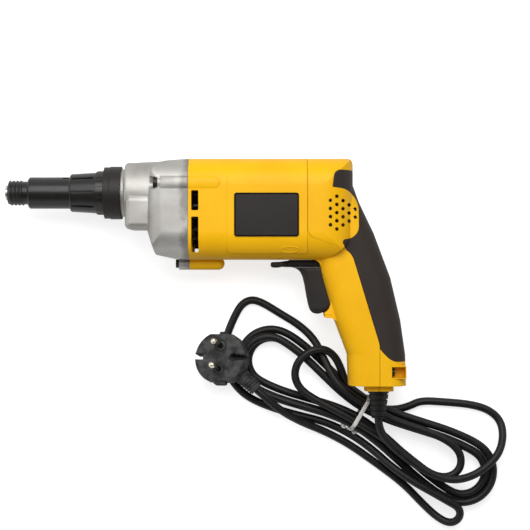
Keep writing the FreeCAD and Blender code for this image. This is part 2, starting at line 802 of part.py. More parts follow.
def side_prism(name, corners, half_width):
    """A prism over an outline of the tool's side, to both sides of its middle plane."""
    return extrude(name, loose_sketch(f"{name}_outline", "XY", "0", corners), f"2 * ({half_width})", both_ways=True)


ACROSS = "dim.barrel_width"


def rounded_front(name, base, radius):
    """Round the edge round a piece's front face."""
    doc.recompute()
    front = base.Shape.BoundBox.XMin
    tolerance = value("dim.running_clearance")
    edges = [number for number, edge in enumerate(base.Shape.Edges, start=1)
             if edge.BoundBox.XMax < front + tolerance]
    fillet = doc.addObject("Part::Fillet", name)
    fillet.Base = base
    fillet.Edges = [(number, value(radius), value(radius)) for number in edges]
    return fillet


SIDE_BOSS_OUT = "(dim.barrel_width / 2 - dim.side_boss_inset)"
SIDE_BOSS = {"y": "dim.side_boss_height", "z": SIDE_BOSS_OUT}
OTHER_SIDE_BOSS = {"y": "dim.side_boss_height", "z": f"-{SIDE_BOSS_OUT}"}
LOWER_BOSS = {"y": "-dim.lower_boss_drop", "z": "0"}

# Gear case: one aluminium casting with a bell on the barrel, a spindle boss, a pinion boss and a spigot
BELL_HALF = "dim.barrel_width / 2"
bell_plan = loose_sketch("bell_plan", "XZ", "dim.barrel_top", [
    ("0", f"-{BELL_HALF}"),
    ("-dim.bell_length", f"-{BELL_HALF}", "dim.bell_plan_round"),
    ("-dim.bell_length", BELL_HALF, "dim.bell_plan_round"),
    ("0", BELL_HALF),
])
bell = common("bell", [
    extrude("bell_block", barrel_section("bell_section", "0", "-dim.bell_length"), "dim.bell_length"),
    extrude("bell_plan_block", bell_plan, "dim.barrel_height"),
    side_prism("bell_profile", [
        ("0", "dim.barrel_top"),
        ("-dim.bell_brow_front", "dim.bell_brow_height", "dim.bell_brow_round"),
        ("-dim.bell_length", "-dim.bell_chin_drop"),
        ("-dim.bell_sole_front", f"{BARREL_BOTTOM} + dim.bell_sole_rise", "dim.bell_sole_round"),
        ("-dim.bell_heel_front", f"{BARREL_BOTTOM} + dim.bell_heel_rise"),
        ("0", BARREL_BOTTOM),
    ], ACROSS),
])
boss_block = doc.addObject("Part::Cone", "spindle_boss_block")
boss_block.Placement = FreeCAD.Placement(FreeCAD.Vector(), ALONG["x"])
bind(boss_block, {
    "Radius1": "dim.spindle_boss_radius",
    "Radius2": "dim.spindle_boss_back_radius",
    "Height": "dim.case_length",
    "Placement.Base.x": "-dim.case_length",
})
spindle_boss = rounded_front("spindle_boss", boss_block, "dim.spindle_boss_round")
PINION_BOSS_LOW = "-dim.motor_drop - dim.pinion_boss_radius"
PINION_BOSS_HIGH = "-dim.motor_drop + dim.pinion_boss_radius"
boss_section = loose_sketch("pinion_boss_section", "YZ", "-dim.case_length + dim.pinion_boss_front", [
    (PINION_BOSS_LOW, "-dim.pinion_boss_out", "dim.pinion_boss_corner"),
    (PINION_BOSS_HIGH, "-dim.pinion_boss_out", "dim.pinion_boss_corner"),
    (PINION_BOSS_HIGH, "dim.pinion_boss_out", "dim.pinion_boss_corner"),
    (PINION_BOSS_LOW, "dim.pinion_boss_out", "dim.pinion_boss_corner"),
])
boss_block = extrude("pinion_boss_block", boss_section,
                     "dim.case_length - dim.pinion_boss_front - dim.bell_length / 2")
pinion_boss = rounded_front("pinion_boss", boss_block, "dim.pinion_boss_round")
case_outside = join("case_outside", [
    bell,
    spindle_boss,
    pinion_boss,
    rod("case_ring", "dim.ring_radius", RING_FRONT, "dim.case_length"),
    rod("case_spigot", "dim.spigot_radius", SPIGOT_FRONT, "dim.case_length"),
    rod("case_boss_left", "dim.side_boss_radius", "-dim.side_boss_front", "dim.side_boss_front", **SIDE_BOSS),
    rod("case_boss_right", "dim.side_boss_radius", "-dim.side_boss_front", "dim.side_boss_front",
        **OTHER_SIDE_BOSS),
    rod("case_boss_lower", "dim.lower_boss_radius", "-dim.lower_boss_front", "dim.lower_boss_front", **LOWER_BOSS),
])
SCREW_HOLE = "dim.screw_radius + dim.running_clearance"
JOURNAL_BUSH_FRONT = "-(dim.gear_room_length + dim.journal_bush_length)"
case_inside = join("case_inside", [
    rod("gear_room", "dim.gear_room_radius", "-dim.gear_room_length", "dim.gear_room_length + dim.overrun"),
    rod("pinion_room", "dim.pinion_room_radius", "-dim.gear_room_length", "dim.gear_room_length + dim.overrun",
        y="-dim.motor_drop"),
    rod("journal_seat", "dim.journal_bush_radius", JOURNAL_BUSH_FRONT, "dim.gear_room_length", y="-dim.motor_drop"),
    rod("spindle_passage", "dim.spindle_passage_radius", BUSH_BACK, "dim.spindle_shoulder"),
    rod("bush_seat", "dim.bush_radius", f"{SPIGOT_FRONT} - dim.overrun",
        f"{BUSH_BACK} - {SPIGOT_FRONT} + dim.overrun"),
    rod("plate_seat", f"{MID_PLATE_RADIUS} + dim.running_clearance", "-dim.plate_length",
        "dim.plate_length + dim.overrun", y=BARREL_MIDDLE),
    rod("plate_room", f"{MID_PLATE_RADIUS} - dim.plate_ledge", "-dim.plate_room_length", "dim.plate_room_length",
        y=BARREL_MIDDLE),
    rod("case_hole_left", SCREW_HOLE, "-dim.bell_length", "dim.bell_length + dim.overrun", **SIDE_BOSS),
    rod("case_hole_right", SCREW_HOLE, "-dim.bell_length", "dim.bell_length + dim.overrun", **OTHER_SIDE_BOSS),
    rod("case_hole_lower", SCREW_HOLE, "-dim.bell_length", "dim.bell_length + dim.overrun", **LOWER_BOSS),
    rod("head_room_left", "dim.screw_head_radius + dim.piece_clearance", "-dim.bell_length",
        "dim.bell_length - dim.side_boss_front", **SIDE_BOSS),
    rod("head_room_right", "dim.screw_head_radius + dim.piece_clearance", "-dim.bell_length",
        "dim.bell_length - dim.side_boss_front", **OTHER_SIDE_BOSS),
    rod("head_room_lower", "dim.lower_screw_head_radius + dim.piece_clearance", "-dim.bell_length",
        "dim.bell_length - dim.lower_boss_front", **LOWER_BOSS),
])
seat(cut("gear_case", case_outside, case_inside), "gear_case")


def cap_screw(label, head_radius, head_length, seat_x, length, places):
    """Screws along X with a round head in front and a recess for the driver, one at each place."""
    screws = []
    for number, place in enumerate(places):
        name = f"{label}_{number}"
        head = rod(f"{name}_head", head_radius, f"-({seat_x} + {head_length})", head_length, **place)
        stem = rod(f"{name}_stem", "dim.screw_radius", f"-{seat_x}", length, **place)
        recess = rod(f"{name}_recess", "dim.drive_radius", f"-({seat_x} + {head_length})", "dim.drive_depth", **place)
        screws.append(cut(name, join(f"{name}_blank", [head, stem]), recess))
    if len(screws) == 1:
        return seat(screws[0], label)
    group = doc.addObject("Part::Compound", label)
    group.Links = screws
    return seat(group, label)


# Case screws: two at the sides and one below hold the gear case to the field case
cap_screw("gear_case_screws", "dim.screw_head_radius", "dim.screw_head_length", "dim.side_boss_front",
          "dim.screw_length", [SIDE_BOSS, OTHER_SIDE_BOSS])
cap_screw("lower_case_screw", "dim.lower_screw_head_radius", "dim.lower_screw_head_length", "dim.lower_boss_front",
          "dim.lower_screw_length", [LOWER_BOSS])

# Mid plate: closes the gear room and holds the gear pin and the armature's front bearing
plate_disc = rod("plate_disc", MID_PLATE_RADIUS, "-dim.plate_length", "dim.plate_length", y=BARREL_MIDDLE)
plate_holes = join("plate_holes", [
    rod("pin_hole", "dim.gear_pin_radius", "-dim.plate_length - dim.overrun", "dim.plate_length + 2 * dim.overrun"),
    rod("bearing_hole", "dim.front_bearing_radius", "-dim.front_bearing_length",
        "dim.front_bearing_length + dim.overrun", y="-dim.motor_drop"),
    rod("shaft_hole", "dim.pinion_room_radius", "-dim.plate_length - dim.overrun",
        "dim.plate_length + 2 * dim.overrun", y="-dim.motor_drop"),
])
seat(cut("mid_plate", plate_disc, plate_holes), "mid_plate")


def ring(label, start, length, radius, bore):
    """A plain turned ring on the motor's axis."""
    end = f"{start} + {length}"
    return turned(label, [(start, bore), (start, radius), (end, radius), (end, bore)], MOTOR)


SHAFT_BORE = "dim.shaft_radius + dim.running_clearance"
ring("front_bearing", "-dim.front_bearing_length", "dim.front_bearing_length", "dim.front_bearing_radius", SHAFT_BORE)
ring("pinion_bush", JOURNAL_BUSH_FRONT, "dim.journal_bush_length", "dim.journal_bush_radius",
     "dim.journal_radius + dim.running_clearance")

# Armature shaft: the pinion is cut on its front end, with a journal before it
shaft_shape = plain_rod(value("dim.journal_radius"), value("-dim.journal_front"), value("-dim.pinion_front"))
shaft_shape = shaft_shape.fuse(toothed(PINION_TEETH, value("-dim.pinion_front"), value("-dim.pinion_back"),
                                    PINION_PHASE_SHARE))
shaft_shape = shaft_shape.fuse(plain_rod(value("dim.shaft_radius"), value("-dim.pinion_back"),
                                         value("dim.shaft_back")))
shaped("armature_shaft", shaft_shape, MOTOR)

# Fan: a backed disc with straight blades behind the front vents
FAN_BLADES = 18
FAN_END = "(dim.fan_front + dim.fan_length)"
FAN_RADIUS = f"({BARREL_ROOM} - dim.fan_gap)"
armature_fan = turned("fan", [
    ("dim.fan_front", SHAFT_BORE),
    ("dim.fan_front", "dim.fan_hub_radius"),
    (f"{FAN_END} - dim.fan_disc", "dim.fan_hub_radius"),
    (f"{FAN_END} - dim.fan_disc", FAN_RADIUS),
    (FAN_END, FAN_RADIUS),
    (FAN_END, SHAFT_BORE),
], MOTOR)
blade = armature_fan.newObject("PartDesign::AdditiveBox", "fan_blade")
bind(blade, {
    "Length": "dim.fan_length",
    "Width": f"{FAN_RADIUS} - dim.fan_hub_radius + dim.fan_blade - dim.piece_clearance",
    "Height": "dim.fan_blade",
    "Placement.Base.x": "dim.fan_front",
    "Placement.Base.y": "dim.fan_hub_radius - dim.fan_blade",
    "Placement.Base.z": "-dim.fan_blade / 2",
})
blades = armature_fan.newObject("PartDesign::PolarPattern", "fan_blades")
blades.Originals = [blade]
blades.Axis = (origin_plane(armature_fan, "X_Axis"), [""])
blades.Angle = 360
blades.Occurrences = FAN_BLADES
armature_fan.Tip = blades

# Armature core: a stack of sheet steel with twelve winding slots
CORE_SLOTS = 12
CORE_BACK = "(dim.core_front + dim.core_length)"
armature_core = ring("armature_core", "dim.core_front", "dim.core_length", "dim.core_radius", SHAFT_BORE)
slot = armature_core.newObject("PartDesign::SubtractiveBox", "armature_core_slot")
bind(slot, {
    "Length": "dim.core_length",
    "Width": "dim.core_slot_depth + dim.overrun",
    "Height": "dim.core_slot_width",
    "Placement.Base.x": "dim.core_front",
    "Placement.Base.y": "dim.core_radius - dim.core_slot_depth",
    "Placement.Base.z": "-dim.core_slot_width / 2",
})
slots = armature_core.newObject("PartDesign::PolarPattern", "armature_core_slots")
slots.Originals = [slot]
slots.Axis = (origin_plane(armature_core, "X_Axis"), [""])
slots.Angle = 360
slots.Occurrences = CORE_SLOTS
armature_core.Tip = slots

# Armature windings: the end turns that stand out of the core at both ends
WINDING_FRONT = "(dim.core_front - dim.winding_front_length)"
WINDING_BACK = f"({CORE_BACK} + dim.winding_back_length)"
winding_ends = [
    rod("winding_front", "dim.winding_radius", WINDING_FRONT, "dim.winding_front_length"),
    rod("winding_back", "dim.winding_radius", CORE_BACK, "dim.winding_back_length"),
]
winding_bores = [rod(f"{end.Name}_bore", SHAFT_BORE, WINDING_FRONT, f"{WINDING_BACK} - {WINDING_FRONT}")
                 for end in winding_ends]
windings = doc.addObject("Part::Compound", "armature_windings")
windings.Links = [cut(f"{end.Name}_turns", end, bore) for end, bore in zip(winding_ends, winding_bores)]
seat(windings, "armature_windings", MOTOR)

# Commutator, stator, brush ring and rear bearing
ring("commutator", "dim.commutator_front", "dim.commutator_length", "dim.commutator_radius", SHAFT_BORE)
ring("stator", "dim.core_front", "dim.core_length", STATOR_RADIUS, "dim.stator_bore_radius")
BEARING_FRONT = "(dim.shaft_back - dim.rear_bearing_length)"
BRUSH_RING_STEP = "(dim.brush_ring_front + dim.brush_ring_length)"
ring("rear_bearing", BEARING_FRONT, "dim.rear_bearing_length", "dim.rear_bearing_radius", SHAFT_BORE)
brush_ring = turned("brush_ring", [
    ("dim.brush_ring_front", "dim.brush_tube_bore_radius"),
    ("dim.brush_ring_front", STATOR_RADIUS),
    (BRUSH_RING_STEP, STATOR_RADIUS),
    (BRUSH_RING_STEP, "dim.brush_tube_radius"),
    ("dim.shaft_back", "dim.brush_tube_radius"),
    ("dim.shaft_back", "dim.rear_bearing_radius"),
    (BEARING_FRONT, "dim.rear_bearing_radius"),
    (BEARING_FRONT, "dim.brush_tube_bore_radius"),
], MOTOR)

# Brushes: carbon blocks on the commutator in sheet-metal holders through the brush ring, with their springs
BRUSH_X = f"({BRUSH_RING_STEP} + dim.brush_holder_wall + dim.brush_width / 2)"
BRUSH_START = "(dim.commutator_radius + dim.running_clearance)"
HOLDER_START = "(dim.commutator_radius + dim.piece_clearance)"
HOLDER_OUT = f"({STATOR_RADIUS} - dim.brush_holder_inset)"
BRUSH_SHARE = 0.59
BRUSH_LENGTH = f"({HOLDER_OUT} - {BRUSH_START}) * {BRUSH_SHARE}"
SPRING_START = f"({BRUSH_START} + {BRUSH_LENGTH})"


def brush_bar(name, start, length, grow, side):
    """A rectangular bar on the brush's line, grown on its four long sides, to the left (1) or right (-1)."""
    width = f"(dim.brush_width + 2 * {grow})"
    depth = f"(dim.brush_depth + 2 * {grow})"
    low = start if side > 0 else f"-({start} + {length})"
    return block(name, (f"{BRUSH_X} - {width} / 2", f"-{depth} / 2", low), (width, depth, length))


brush_window = brush_ring.newObject("PartDesign::SubtractiveBox", "brush_ring_window")
bind(brush_window, {
    "Length": "dim.brush_width + 2 * dim.brush_holder_wall",
    "Width": "dim.brush_depth + 2 * dim.brush_holder_wall",
    "Height": f"2 * {STATOR_RADIUS}",
    "Placement.Base.x": BRUSH_RING_STEP,
    "Placement.Base.y": "-dim.brush_depth / 2 - dim.brush_holder_wall",
    "Placement.Base.z": f"-{STATOR_RADIUS}",
})
holders, brushes, springs = [], [], []
for side, word in ((1, "left"), (-1, "right")):
    shell = brush_bar(f"holder_{word}_outside", HOLDER_START, f"({HOLDER_OUT} - {HOLDER_START})",
                      "dim.brush_holder_wall", side)
    hole = brush_bar(f"holder_{word}_inside", "0", HOLDER_OUT, "dim.running_clearance", side)
    floor = brush_bar(f"holder_{word}_floor", f"{HOLDER_OUT} - dim.brush_holder_wall", "dim.brush_holder_wall",
                      "dim.brush_holder_wall", side)
    holders.append(join(f"holder_{word}", [cut(f"holder_{word}_tube", shell, hole), floor]))
    brushes.append(brush_bar(f"brush_{word}", BRUSH_START, BRUSH_LENGTH, "0", side))
    spring_length = f"{HOLDER_OUT} - dim.brush_holder_wall - {SPRING_START}"
    spring_low = SPRING_START if side > 0 else f"-({HOLDER_OUT} - dim.brush_holder_wall)"
    springs.append(rod(f"spring_{word}", "dim.brush_width / 2 - dim.piece_clearance", spring_low, spring_length,
                       along="z", x=BRUSH_X))
for label, pieces in (("brush_holders", holders), ("brushes", brushes), ("brush_springs", springs)):
    group = doc.addObject("Part::Compound", label)
    group.Links = pieces
    seat(group, label, MOTOR)

# Housing: both mouldings follow one form, a rounded motor barrel that runs into a raked handle.
# Each row of the handle is its drop, front and back, in shares of the handle's drop and reach.
HANDLE_SECTION_SHARES = (
    (-0.08, 0.560, 0.740),
    (0.05, 0.560, 0.782),
    (0.21, 0.570, 0.850),
    (0.44, 0.613, 0.927),
    (0.66, 0.669, 0.973),
    (0.84, 0.729, 0.996),
    (1.00, 0.735, 1.000),
)


def handle_form(name, inset):
    """The handle's solid, lofted through rounded sections from the web of the hand down to the foot."""
    sections = []
    half = f"(dim.handle_width / 2 - {inset})"
    corner = f"dim.handle_corner - {inset}"
    last = len(HANDLE_SECTION_SHARES) - 1
    for number, (drop_share, front_share, back_share) in enumerate(HANDLE_SECTION_SHARES):
        level = f"-dim.handle_drop * {drop_share}"
        if number == 0:
            level = f"{level} - {inset}"
        if number == last:
            level = f"{level} + {inset}"
        front = f"dim.handle_reach * {front_share} + {inset}"
        back = f"dim.handle_reach * {back_share} - {inset}"
        sections.append(loose_sketch(f"{name}_section_{number}", "XZ", level, [
            (front, f"-{half}", corner), (back, f"-{half}", corner), (back, half, corner), (front, half, corner),
        ]))
    return loft(name, sections)


def barrel_form(name, inset):
    """The motor barrel's solid, rounded at its back in plan and from the side, drawn in by an inset."""
    start = f"-({inset})"
    back = f"{BARREL_BACK} - {inset}"
    half = f"(dim.barrel_width / 2 - {inset})"
    plan_round = f"dim.rear_plan_round - {inset}"
    low = f"{BARREL_BOTTOM} + {inset}"
    high = f"dim.barrel_top - {inset}"
    bar = extrude(f"{name}_bar", barrel_section(f"{name}_bar_section", inset, start), f"{back} - {start}")
    plan = loose_sketch(f"{name}_plan", "XZ", high, [
        (start, f"-{half}"), (back, f"-{half}", plan_round), (back, half, plan_round), (start, half),
    ])
    profile = loose_sketch(f"{name}_profile", "XY", f"-{half}", [
        (start, low), (back, low, f"dim.rear_lower_round - {inset}"),
        (back, high, f"dim.rear_top_round - {inset}"), (start, high),
    ])
    return common(name, [
        bar,
        extrude(f"{name}_plan_block", plan, f"{high} - ({low})"),
        extrude(f"{name}_profile_block", profile, f"2 * {half}"),
    ])


def housing_form(name, inset):
    return join(name, [barrel_form(f"{name}_barrel", inset), handle_form(f"{name}_handle", inset)])


PANEL_LOW = f"({BARREL_BOTTOM} + dim.panel_low)"
panel_bar = extrude("panel_bar", barrel_section("panel_section", "(-dim.panel_raise)", "dim.panel_front"),
                    "dim.barrel_length - dim.panel_front")
panel_prism = side_prism("panel_prism", [
    ("dim.panel_front", PANEL_LOW, "dim.panel_low_round"),
    (BARREL_BACK, PANEL_LOW),
    (BARREL_BACK, "dim.panel_top"),
    ("dim.panel_front", "dim.panel_top", "dim.panel_round"),
], ACROSS)
foot = extrude("foot", loose_sketch("foot_outline", "XZ", "-dim.handle_drop + dim.wall", [
    ("dim.foot_front", "-dim.foot_width / 2", "dim.foot_round"),
    ("dim.foot_back", "-dim.foot_width / 2", "dim.foot_round"),
    ("dim.foot_back", "dim.foot_width / 2", "dim.foot_round"),
    ("dim.foot_front", "dim.foot_width / 2", "dim.foot_round"),
]), "dim.foot_height + dim.wall")
LIP_UNDER = "-(dim.lip_drop + dim.lip_thickness)"
trigger_lip = side_prism("trigger_lip", [
    ("dim.lip_front", "-dim.lip_drop", "dim.lip_round"),
    ("dim.lip_back", "-dim.lip_drop"),
    ("dim.lip_back", "-dim.lip_drop - dim.lip_height"),
    ("dim.lip_neck", LIP_UNDER, "dim.lip_bend"),
    ("dim.lip_front + dim.lip_thickness / 2", LIP_UNDER, "dim.lip_round"),
], "dim.lip_width / 2")
housing_outside = join("housing_outside", [
    housing_form("outer_form", "0"),
    common("panel", [panel_bar, panel_prism]),
    foot,
    trigger_lip,
])
BOOT_HOLE = "dim.boot_root_radius + dim.running_clearance"
boot_hole = rod("boot_hole", BOOT_HOLE, f"{FOOT_BOTTOM} - dim.overrun", "dim.boot_root_length + 2 * dim.overrun",
                along="y", x="dim.boot_x")
housing_shell = cut("housing_shell", housing_outside, join("housing_hollow", [
    housing_form("inner_form", "dim.wall"),
    boot_hole,
]))


SEAM_DROP_SHARE = 0.225
SEAM_KNEE_SHARES = (0.743, 0.307)
SEAM_FOOT_SHARES = (0.873, 0.788)
SEAM_FOOT = f"(dim.handle_reach * {SEAM_FOOT_SHARES[0]})"


def front_region(name, shift):
    """All in front of the seam between the two mouldings."""
    knee_x, knee_drop = SEAM_KNEE_SHARES
    foot_drop = SEAM_FOOT_SHARES[1]
    return side_prism(name, [
        ("-dim.overrun", "dim.barrel_top + dim.overrun"),
        (f"dim.barrel_length + {shift}", "dim.barrel_top + dim.overrun"),
        (f"dim.barrel_length + {shift}", f"-dim.handle_drop * {SEAM_DROP_SHARE}", "dim.seam_round"),
        (f"dim.handle_reach * {knee_x} + {shift}", f"-dim.handle_drop * {knee_drop}", "dim.seam_knee_round"),
        (f"{SEAM_FOOT} + {shift}", f"-dim.handle_drop * {foot_drop}", "dim.seam_knee_round"),
        (f"{SEAM_FOOT} + {shift}", f"{FOOT_BOTTOM} - dim.overrun"),
        ("-dim.overrun", f"{FOOT_BOTTOM} - dim.overrun"),
    ], ACROSS)


# Field case: barrel front and handle front, with vents, screw channels, ribs for the motor and the switch
def motor_rib(name, start):
    rib = extrude(name, barrel_section(f"{name}_section", "(dim.wall - dim.rib_root)", start), "dim.stator_rib_length")
    hole = rod(f"{name}_hole", f"{STATOR_RADIUS} + dim.running_clearance", start, "dim.stator_rib_length",
               y="-dim.motor_drop")
    return cut(f"{name}_frame", rib, hole)


def vent(name, top, height):
    return side_prism(name, [
        ("dim.vent_front", f"{top} - {height}", "dim.vent_round"),
        ("dim.vent_front + dim.vent_length", f"{top} - {height}", "dim.vent_round"),
        ("dim.vent_front + dim.vent_length", top, "dim.vent_round"),
        ("dim.vent_front", top, "dim.vent_round"),
    ], ACROSS)


GUIDE_OUT_SHARE = 0.5
GUIDE_TOP_SHARE = 0.94


def air_guide(name, side):
    """A wall on the barrel's floor beside the fan, which turns its air out of the vent."""
    low = f"({FAN_RADIUS} * {GUIDE_OUT_SHARE})"
    if side < 0:
        low = f"-({low} + dim.air_guide)"
    floor = f"({BARREL_BOTTOM} + dim.wall - dim.rib_root)"
    top = f"(-dim.motor_drop - {FAN_RADIUS} * {GUIDE_TOP_SHARE})"
    return block(name, ("0", floor, low), ("dim.vent_front + 2 * dim.vent_length", f"{top} - {floor}", "dim.air_guide"))


def switch_rib(name, side):
    low = "dim.switch_width / 2 + dim.running_clearance"
    size = "(dim.handle_width / 2 - dim.rib_root - dim.switch_width / 2)"
    if side < 0:
        low = f"-({low} + {size})"
    return block(name, ("dim.switch_front + dim.switch_rib_inset", "-dim.switch_drop - dim.switch_height", low),
                 ("dim.switch_rib_length", "dim.switch_height", size))


def cover_post(name, start, length, side):
    """A solid post round a cover screw, from the handle's side wall inwards."""
    low = "dim.cover_screw_out - dim.post_width / 2"
    size = "dim.handle_width / 2 - dim.rib_root - dim.cover_screw_out + dim.post_width / 2"
    if side < 0:
        low = f"-({low} + {size})"
    return block(name, (start, f"{COVER_SCREW_Y} - dim.post_width / 2", low), (length, "dim.post_width", size))


def cover_screw_hole(name, radius, start, length, side):
    return rod(name, radius, start, length, y=COVER_SCREW_Y, z=f"{side} * dim.cover_screw_out")


SIDE_CHANNEL = "(dim.side_boss_back - dim.side_boss_radius)"
LOWER_CHANNEL = "(dim.lower_boss_back - dim.lower_boss_radius)"
SADDLE_BACK = "(dim.boot_x - dim.cord_diameter / 2 - dim.running_clearance)"
TRIGGER_BOTTOM = "(-dim.trigger_drop - dim.trigger_height)"
case_front = join("case_front", [
    common("case_front_shell", [housing_shell, front_region("case_front_region", "0")]),
    motor_rib("front_stator_rib", "dim.core_front + dim.stator_rib_inset"),
    motor_rib("back_stator_rib", f"{CORE_BACK} - dim.stator_rib_inset - dim.stator_rib_length"),
    motor_rib("brush_ring_rib", "dim.brush_ring_front"),
    rod("channel_left", "dim.side_boss_radius", "0", SIDE_CHANNEL, **SIDE_BOSS),
    ball("channel_left_end", "dim.side_boss_radius", SIDE_CHANNEL, **SIDE_BOSS),
    rod("channel_right", "dim.side_boss_radius", "0", SIDE_CHANNEL, **OTHER_SIDE_BOSS),
    ball("channel_right_end", "dim.side_boss_radius", SIDE_CHANNEL, **OTHER_SIDE_BOSS),
    rod("channel_lower", "dim.lower_boss_radius", "0", LOWER_CHANNEL, **LOWER_BOSS),
    ball("channel_lower_end", "dim.lower_boss_radius", LOWER_CHANNEL, **LOWER_BOSS),
    air_guide("air_guide_left", 1),
    air_guide("air_guide_right", -1),
    switch_rib("switch_rib_left", 1),
    switch_rib("switch_rib_right", -1),
    cover_post("case_post_left", f"{SEAM_FOOT} - dim.post_length", "dim.post_length", 1),
    cover_post("case_post_right", f"{SEAM_FOOT} - dim.post_length", "dim.post_length", -1),
    block("cord_saddle", (f"{SADDLE_BACK} - dim.saddle_length", f"{CLAMP_TOP} - dim.clamp_height",
                          "-dim.handle_width / 2 + dim.wall / 2"),
          ("dim.saddle_length", "dim.clamp_height", "dim.handle_width - dim.wall")),
])
LEVER_TOP = f"({BARREL_BOTTOM} - dim.lever_gap)"
PANEL_FACE = "(dim.barrel_width / 2 + dim.panel_raise)"
PLATE_OUTLINE = [
    ("dim.plate_left", "-dim.plate_bottom", "dim.plate_corner"),
    ("dim.plate_right", "-dim.plate_bottom", "dim.plate_corner"),
    ("dim.plate_right", "-dim.plate_top", "dim.plate_corner"),
    ("dim.plate_left", "-dim.plate_top", "dim.plate_corner"),
]
plate_pocket = side_prism("plate_pocket", PLATE_OUTLINE, "dim.plate_depth")
plate_pocket.setExpression("Placement.Base.z", PANEL_FACE)
case_cuts = join("case_cuts", [
    vent("upper_vent", "dim.vent_top", "dim.vent_upper_height"),
    vent("lower_vent", "(dim.vent_top - dim.vent_upper_height - dim.vent_gap)", "dim.vent_lower_height"),
    rod("channel_hole_left", SCREW_HOLE, "-dim.overrun", "dim.screw_length - dim.side_boss_front + dim.overrun",
        **SIDE_BOSS),
    rod("channel_hole_right", SCREW_HOLE, "-dim.overrun", "dim.screw_length - dim.side_boss_front + dim.overrun",
        **OTHER_SIDE_BOSS),
    rod("channel_hole_lower", SCREW_HOLE, "-dim.overrun",
        "dim.lower_screw_length - dim.lower_boss_front + dim.overrun", **LOWER_BOSS),
    block("trigger_mouth", ("dim.trigger_front", f"{TRIGGER_BOTTOM} - dim.piece_clearance",
                            "-dim.trigger_width / 2 - dim.piece_clearance"),
          ("dim.switch_front - dim.trigger_front", "dim.trigger_height + 2 * dim.piece_clearance",
           "dim.trigger_width + 2 * dim.piece_clearance")),
    block("lever_mouth", ("dim.lever_front", "-dim.trigger_drop", "-dim.lever_mouth_width / 2"),
          ("dim.lever_pivot - dim.lever_front", f"{LEVER_TOP} + dim.trigger_drop + dim.piece_clearance",
           "dim.lever_mouth_width")),
    rod("clamp_hole_left", "dim.clamp_screw_radius", f"{SADDLE_BACK} - dim.clamp_screw_length",
        "dim.clamp_screw_length + dim.overrun", y=f"{CLAMP_TOP} - dim.clamp_height / 2", z="dim.clamp_screw_out"),
    rod("clamp_hole_right", "dim.clamp_screw_radius", f"{SADDLE_BACK} - dim.clamp_screw_length",
        "dim.clamp_screw_length + dim.overrun", y=f"{CLAMP_TOP} - dim.clamp_height / 2", z="-dim.clamp_screw_out"),
    cover_screw_hole("case_post_hole_left", "dim.clamp_screw_radius", "dim.notch_front - dim.cover_screw_length",
                     "dim.cover_screw_length", 1),
    cover_screw_hole("case_post_hole_right", "dim.clamp_screw_radius", "dim.notch_front - dim.cover_screw_length",
                     "dim.cover_screw_length", -1),
    plate_pocket,
])
seat(cut("field_case", case_front, case_cuts), "field_case")

# Name plate: a bare plate set in the pocket of the left panel
name_plate = side_prism("name_plate", PLATE_OUTLINE, "dim.plate_thickness / 2")
seat(name_plate, "name_plate", {
    "x": "0",
    "y": "0",
    "z": f"{PANEL_FACE} - dim.plate_depth + dim.plate_thickness / 2",
})

# Rear grip: a soft skin round the back of the handle, in shares of the handle's reach, drop and width
GRIP_OUTLINE_SHARES = (
    (0.653, 0.021, 0.03),
    (0.665, 0.110, 0.125),
    (1.160, 0.110, 0),
    (1.160, -0.874, 0),
    (0.932, -0.874, 0.3),
    (0.860, -0.800, 0.9),
    (0.750, -0.349, 1.8),
    (0.690, -0.245, 0.065),
    (0.778, -0.238, 0.26),
    (0.778, 0.0065, 0.42),
)


def grip_corner(across_share, up_share, round_share):
    corner = (f"dim.handle_reach * {across_share}", f"dim.handle_drop * {up_share}")
    if round_share:
        corner += (f"dim.handle_width * {round_share}",)
    return corner


grip_prism = side_prism("grip_prism", [grip_corner(*shares) for shares in GRIP_OUTLINE_SHARES], ACROSS)
grip_skin = cut("grip_skin", grip_prism, join("grip_limits", [
    housing_form("grip_form", "dim.grip_skin"),
    front_region("grip_region", "dim.seam_gap"),
]))
seat(common("rear_grip", [grip_skin, housing_outside]), "rear_grip")

# Handle cover: back of the barrel with its vent holes, and back of the handle under the grip
HOLE_COUNTS = (4, 5, 4, 3, 2)
vent_holes = []
for column, count in enumerate(HOLE_COUNTS):
    for number in range(count):
        rise = f"dim.hole_pitch * {number - (count - 1) / 2}"
        vent_holes.append(rod(f"vent_hole_{column}_{number}", "dim.hole_radius", f"-{ACROSS}", f"2 * {ACROSS}",
                              along="z", x=f"dim.hole_field_left + dim.hole_column * {column}",
                              y=f"-dim.hole_field_middle + {rise}"))
cover_shell = cut("cover_shell", housing_shell, front_region("cover_region", "dim.seam_gap"))
COVER_POST_FRONT = f"({SEAM_FOOT} + dim.seam_gap)"
cover_posts = [cover_post(f"cover_post_{side}", COVER_POST_FRONT,
                          f"dim.notch_front + dim.notch_length + dim.notch_wall - {COVER_POST_FRONT}", side)
               for side in (1, -1)]
notches = []
for side in (1, -1):
    low = "dim.cover_screw_out - dim.notch_height / 2"
    notch_reach = "dim.handle_width / 2"
    if side < 0:
        low = f"-({low} + {notch_reach})"
    notches.append(block(f"notch_{side}", ("dim.notch_front", f"{COVER_SCREW_Y} - dim.notch_height / 2", low),
                         ("dim.notch_length", "dim.notch_height", notch_reach)))
    notches.append(cover_screw_hole(f"cover_hole_{side}", "dim.clamp_screw_radius + dim.running_clearance",
                                    COVER_POST_FRONT, f"dim.notch_front - {COVER_POST_FRONT}", side))
cover_solid = join("cover_solid", [cover_shell] + cover_posts)
seat(cut("handle_cover", cover_solid, join("cover_cuts", [grip_skin] + vent_holes + notches)), "handle_cover")

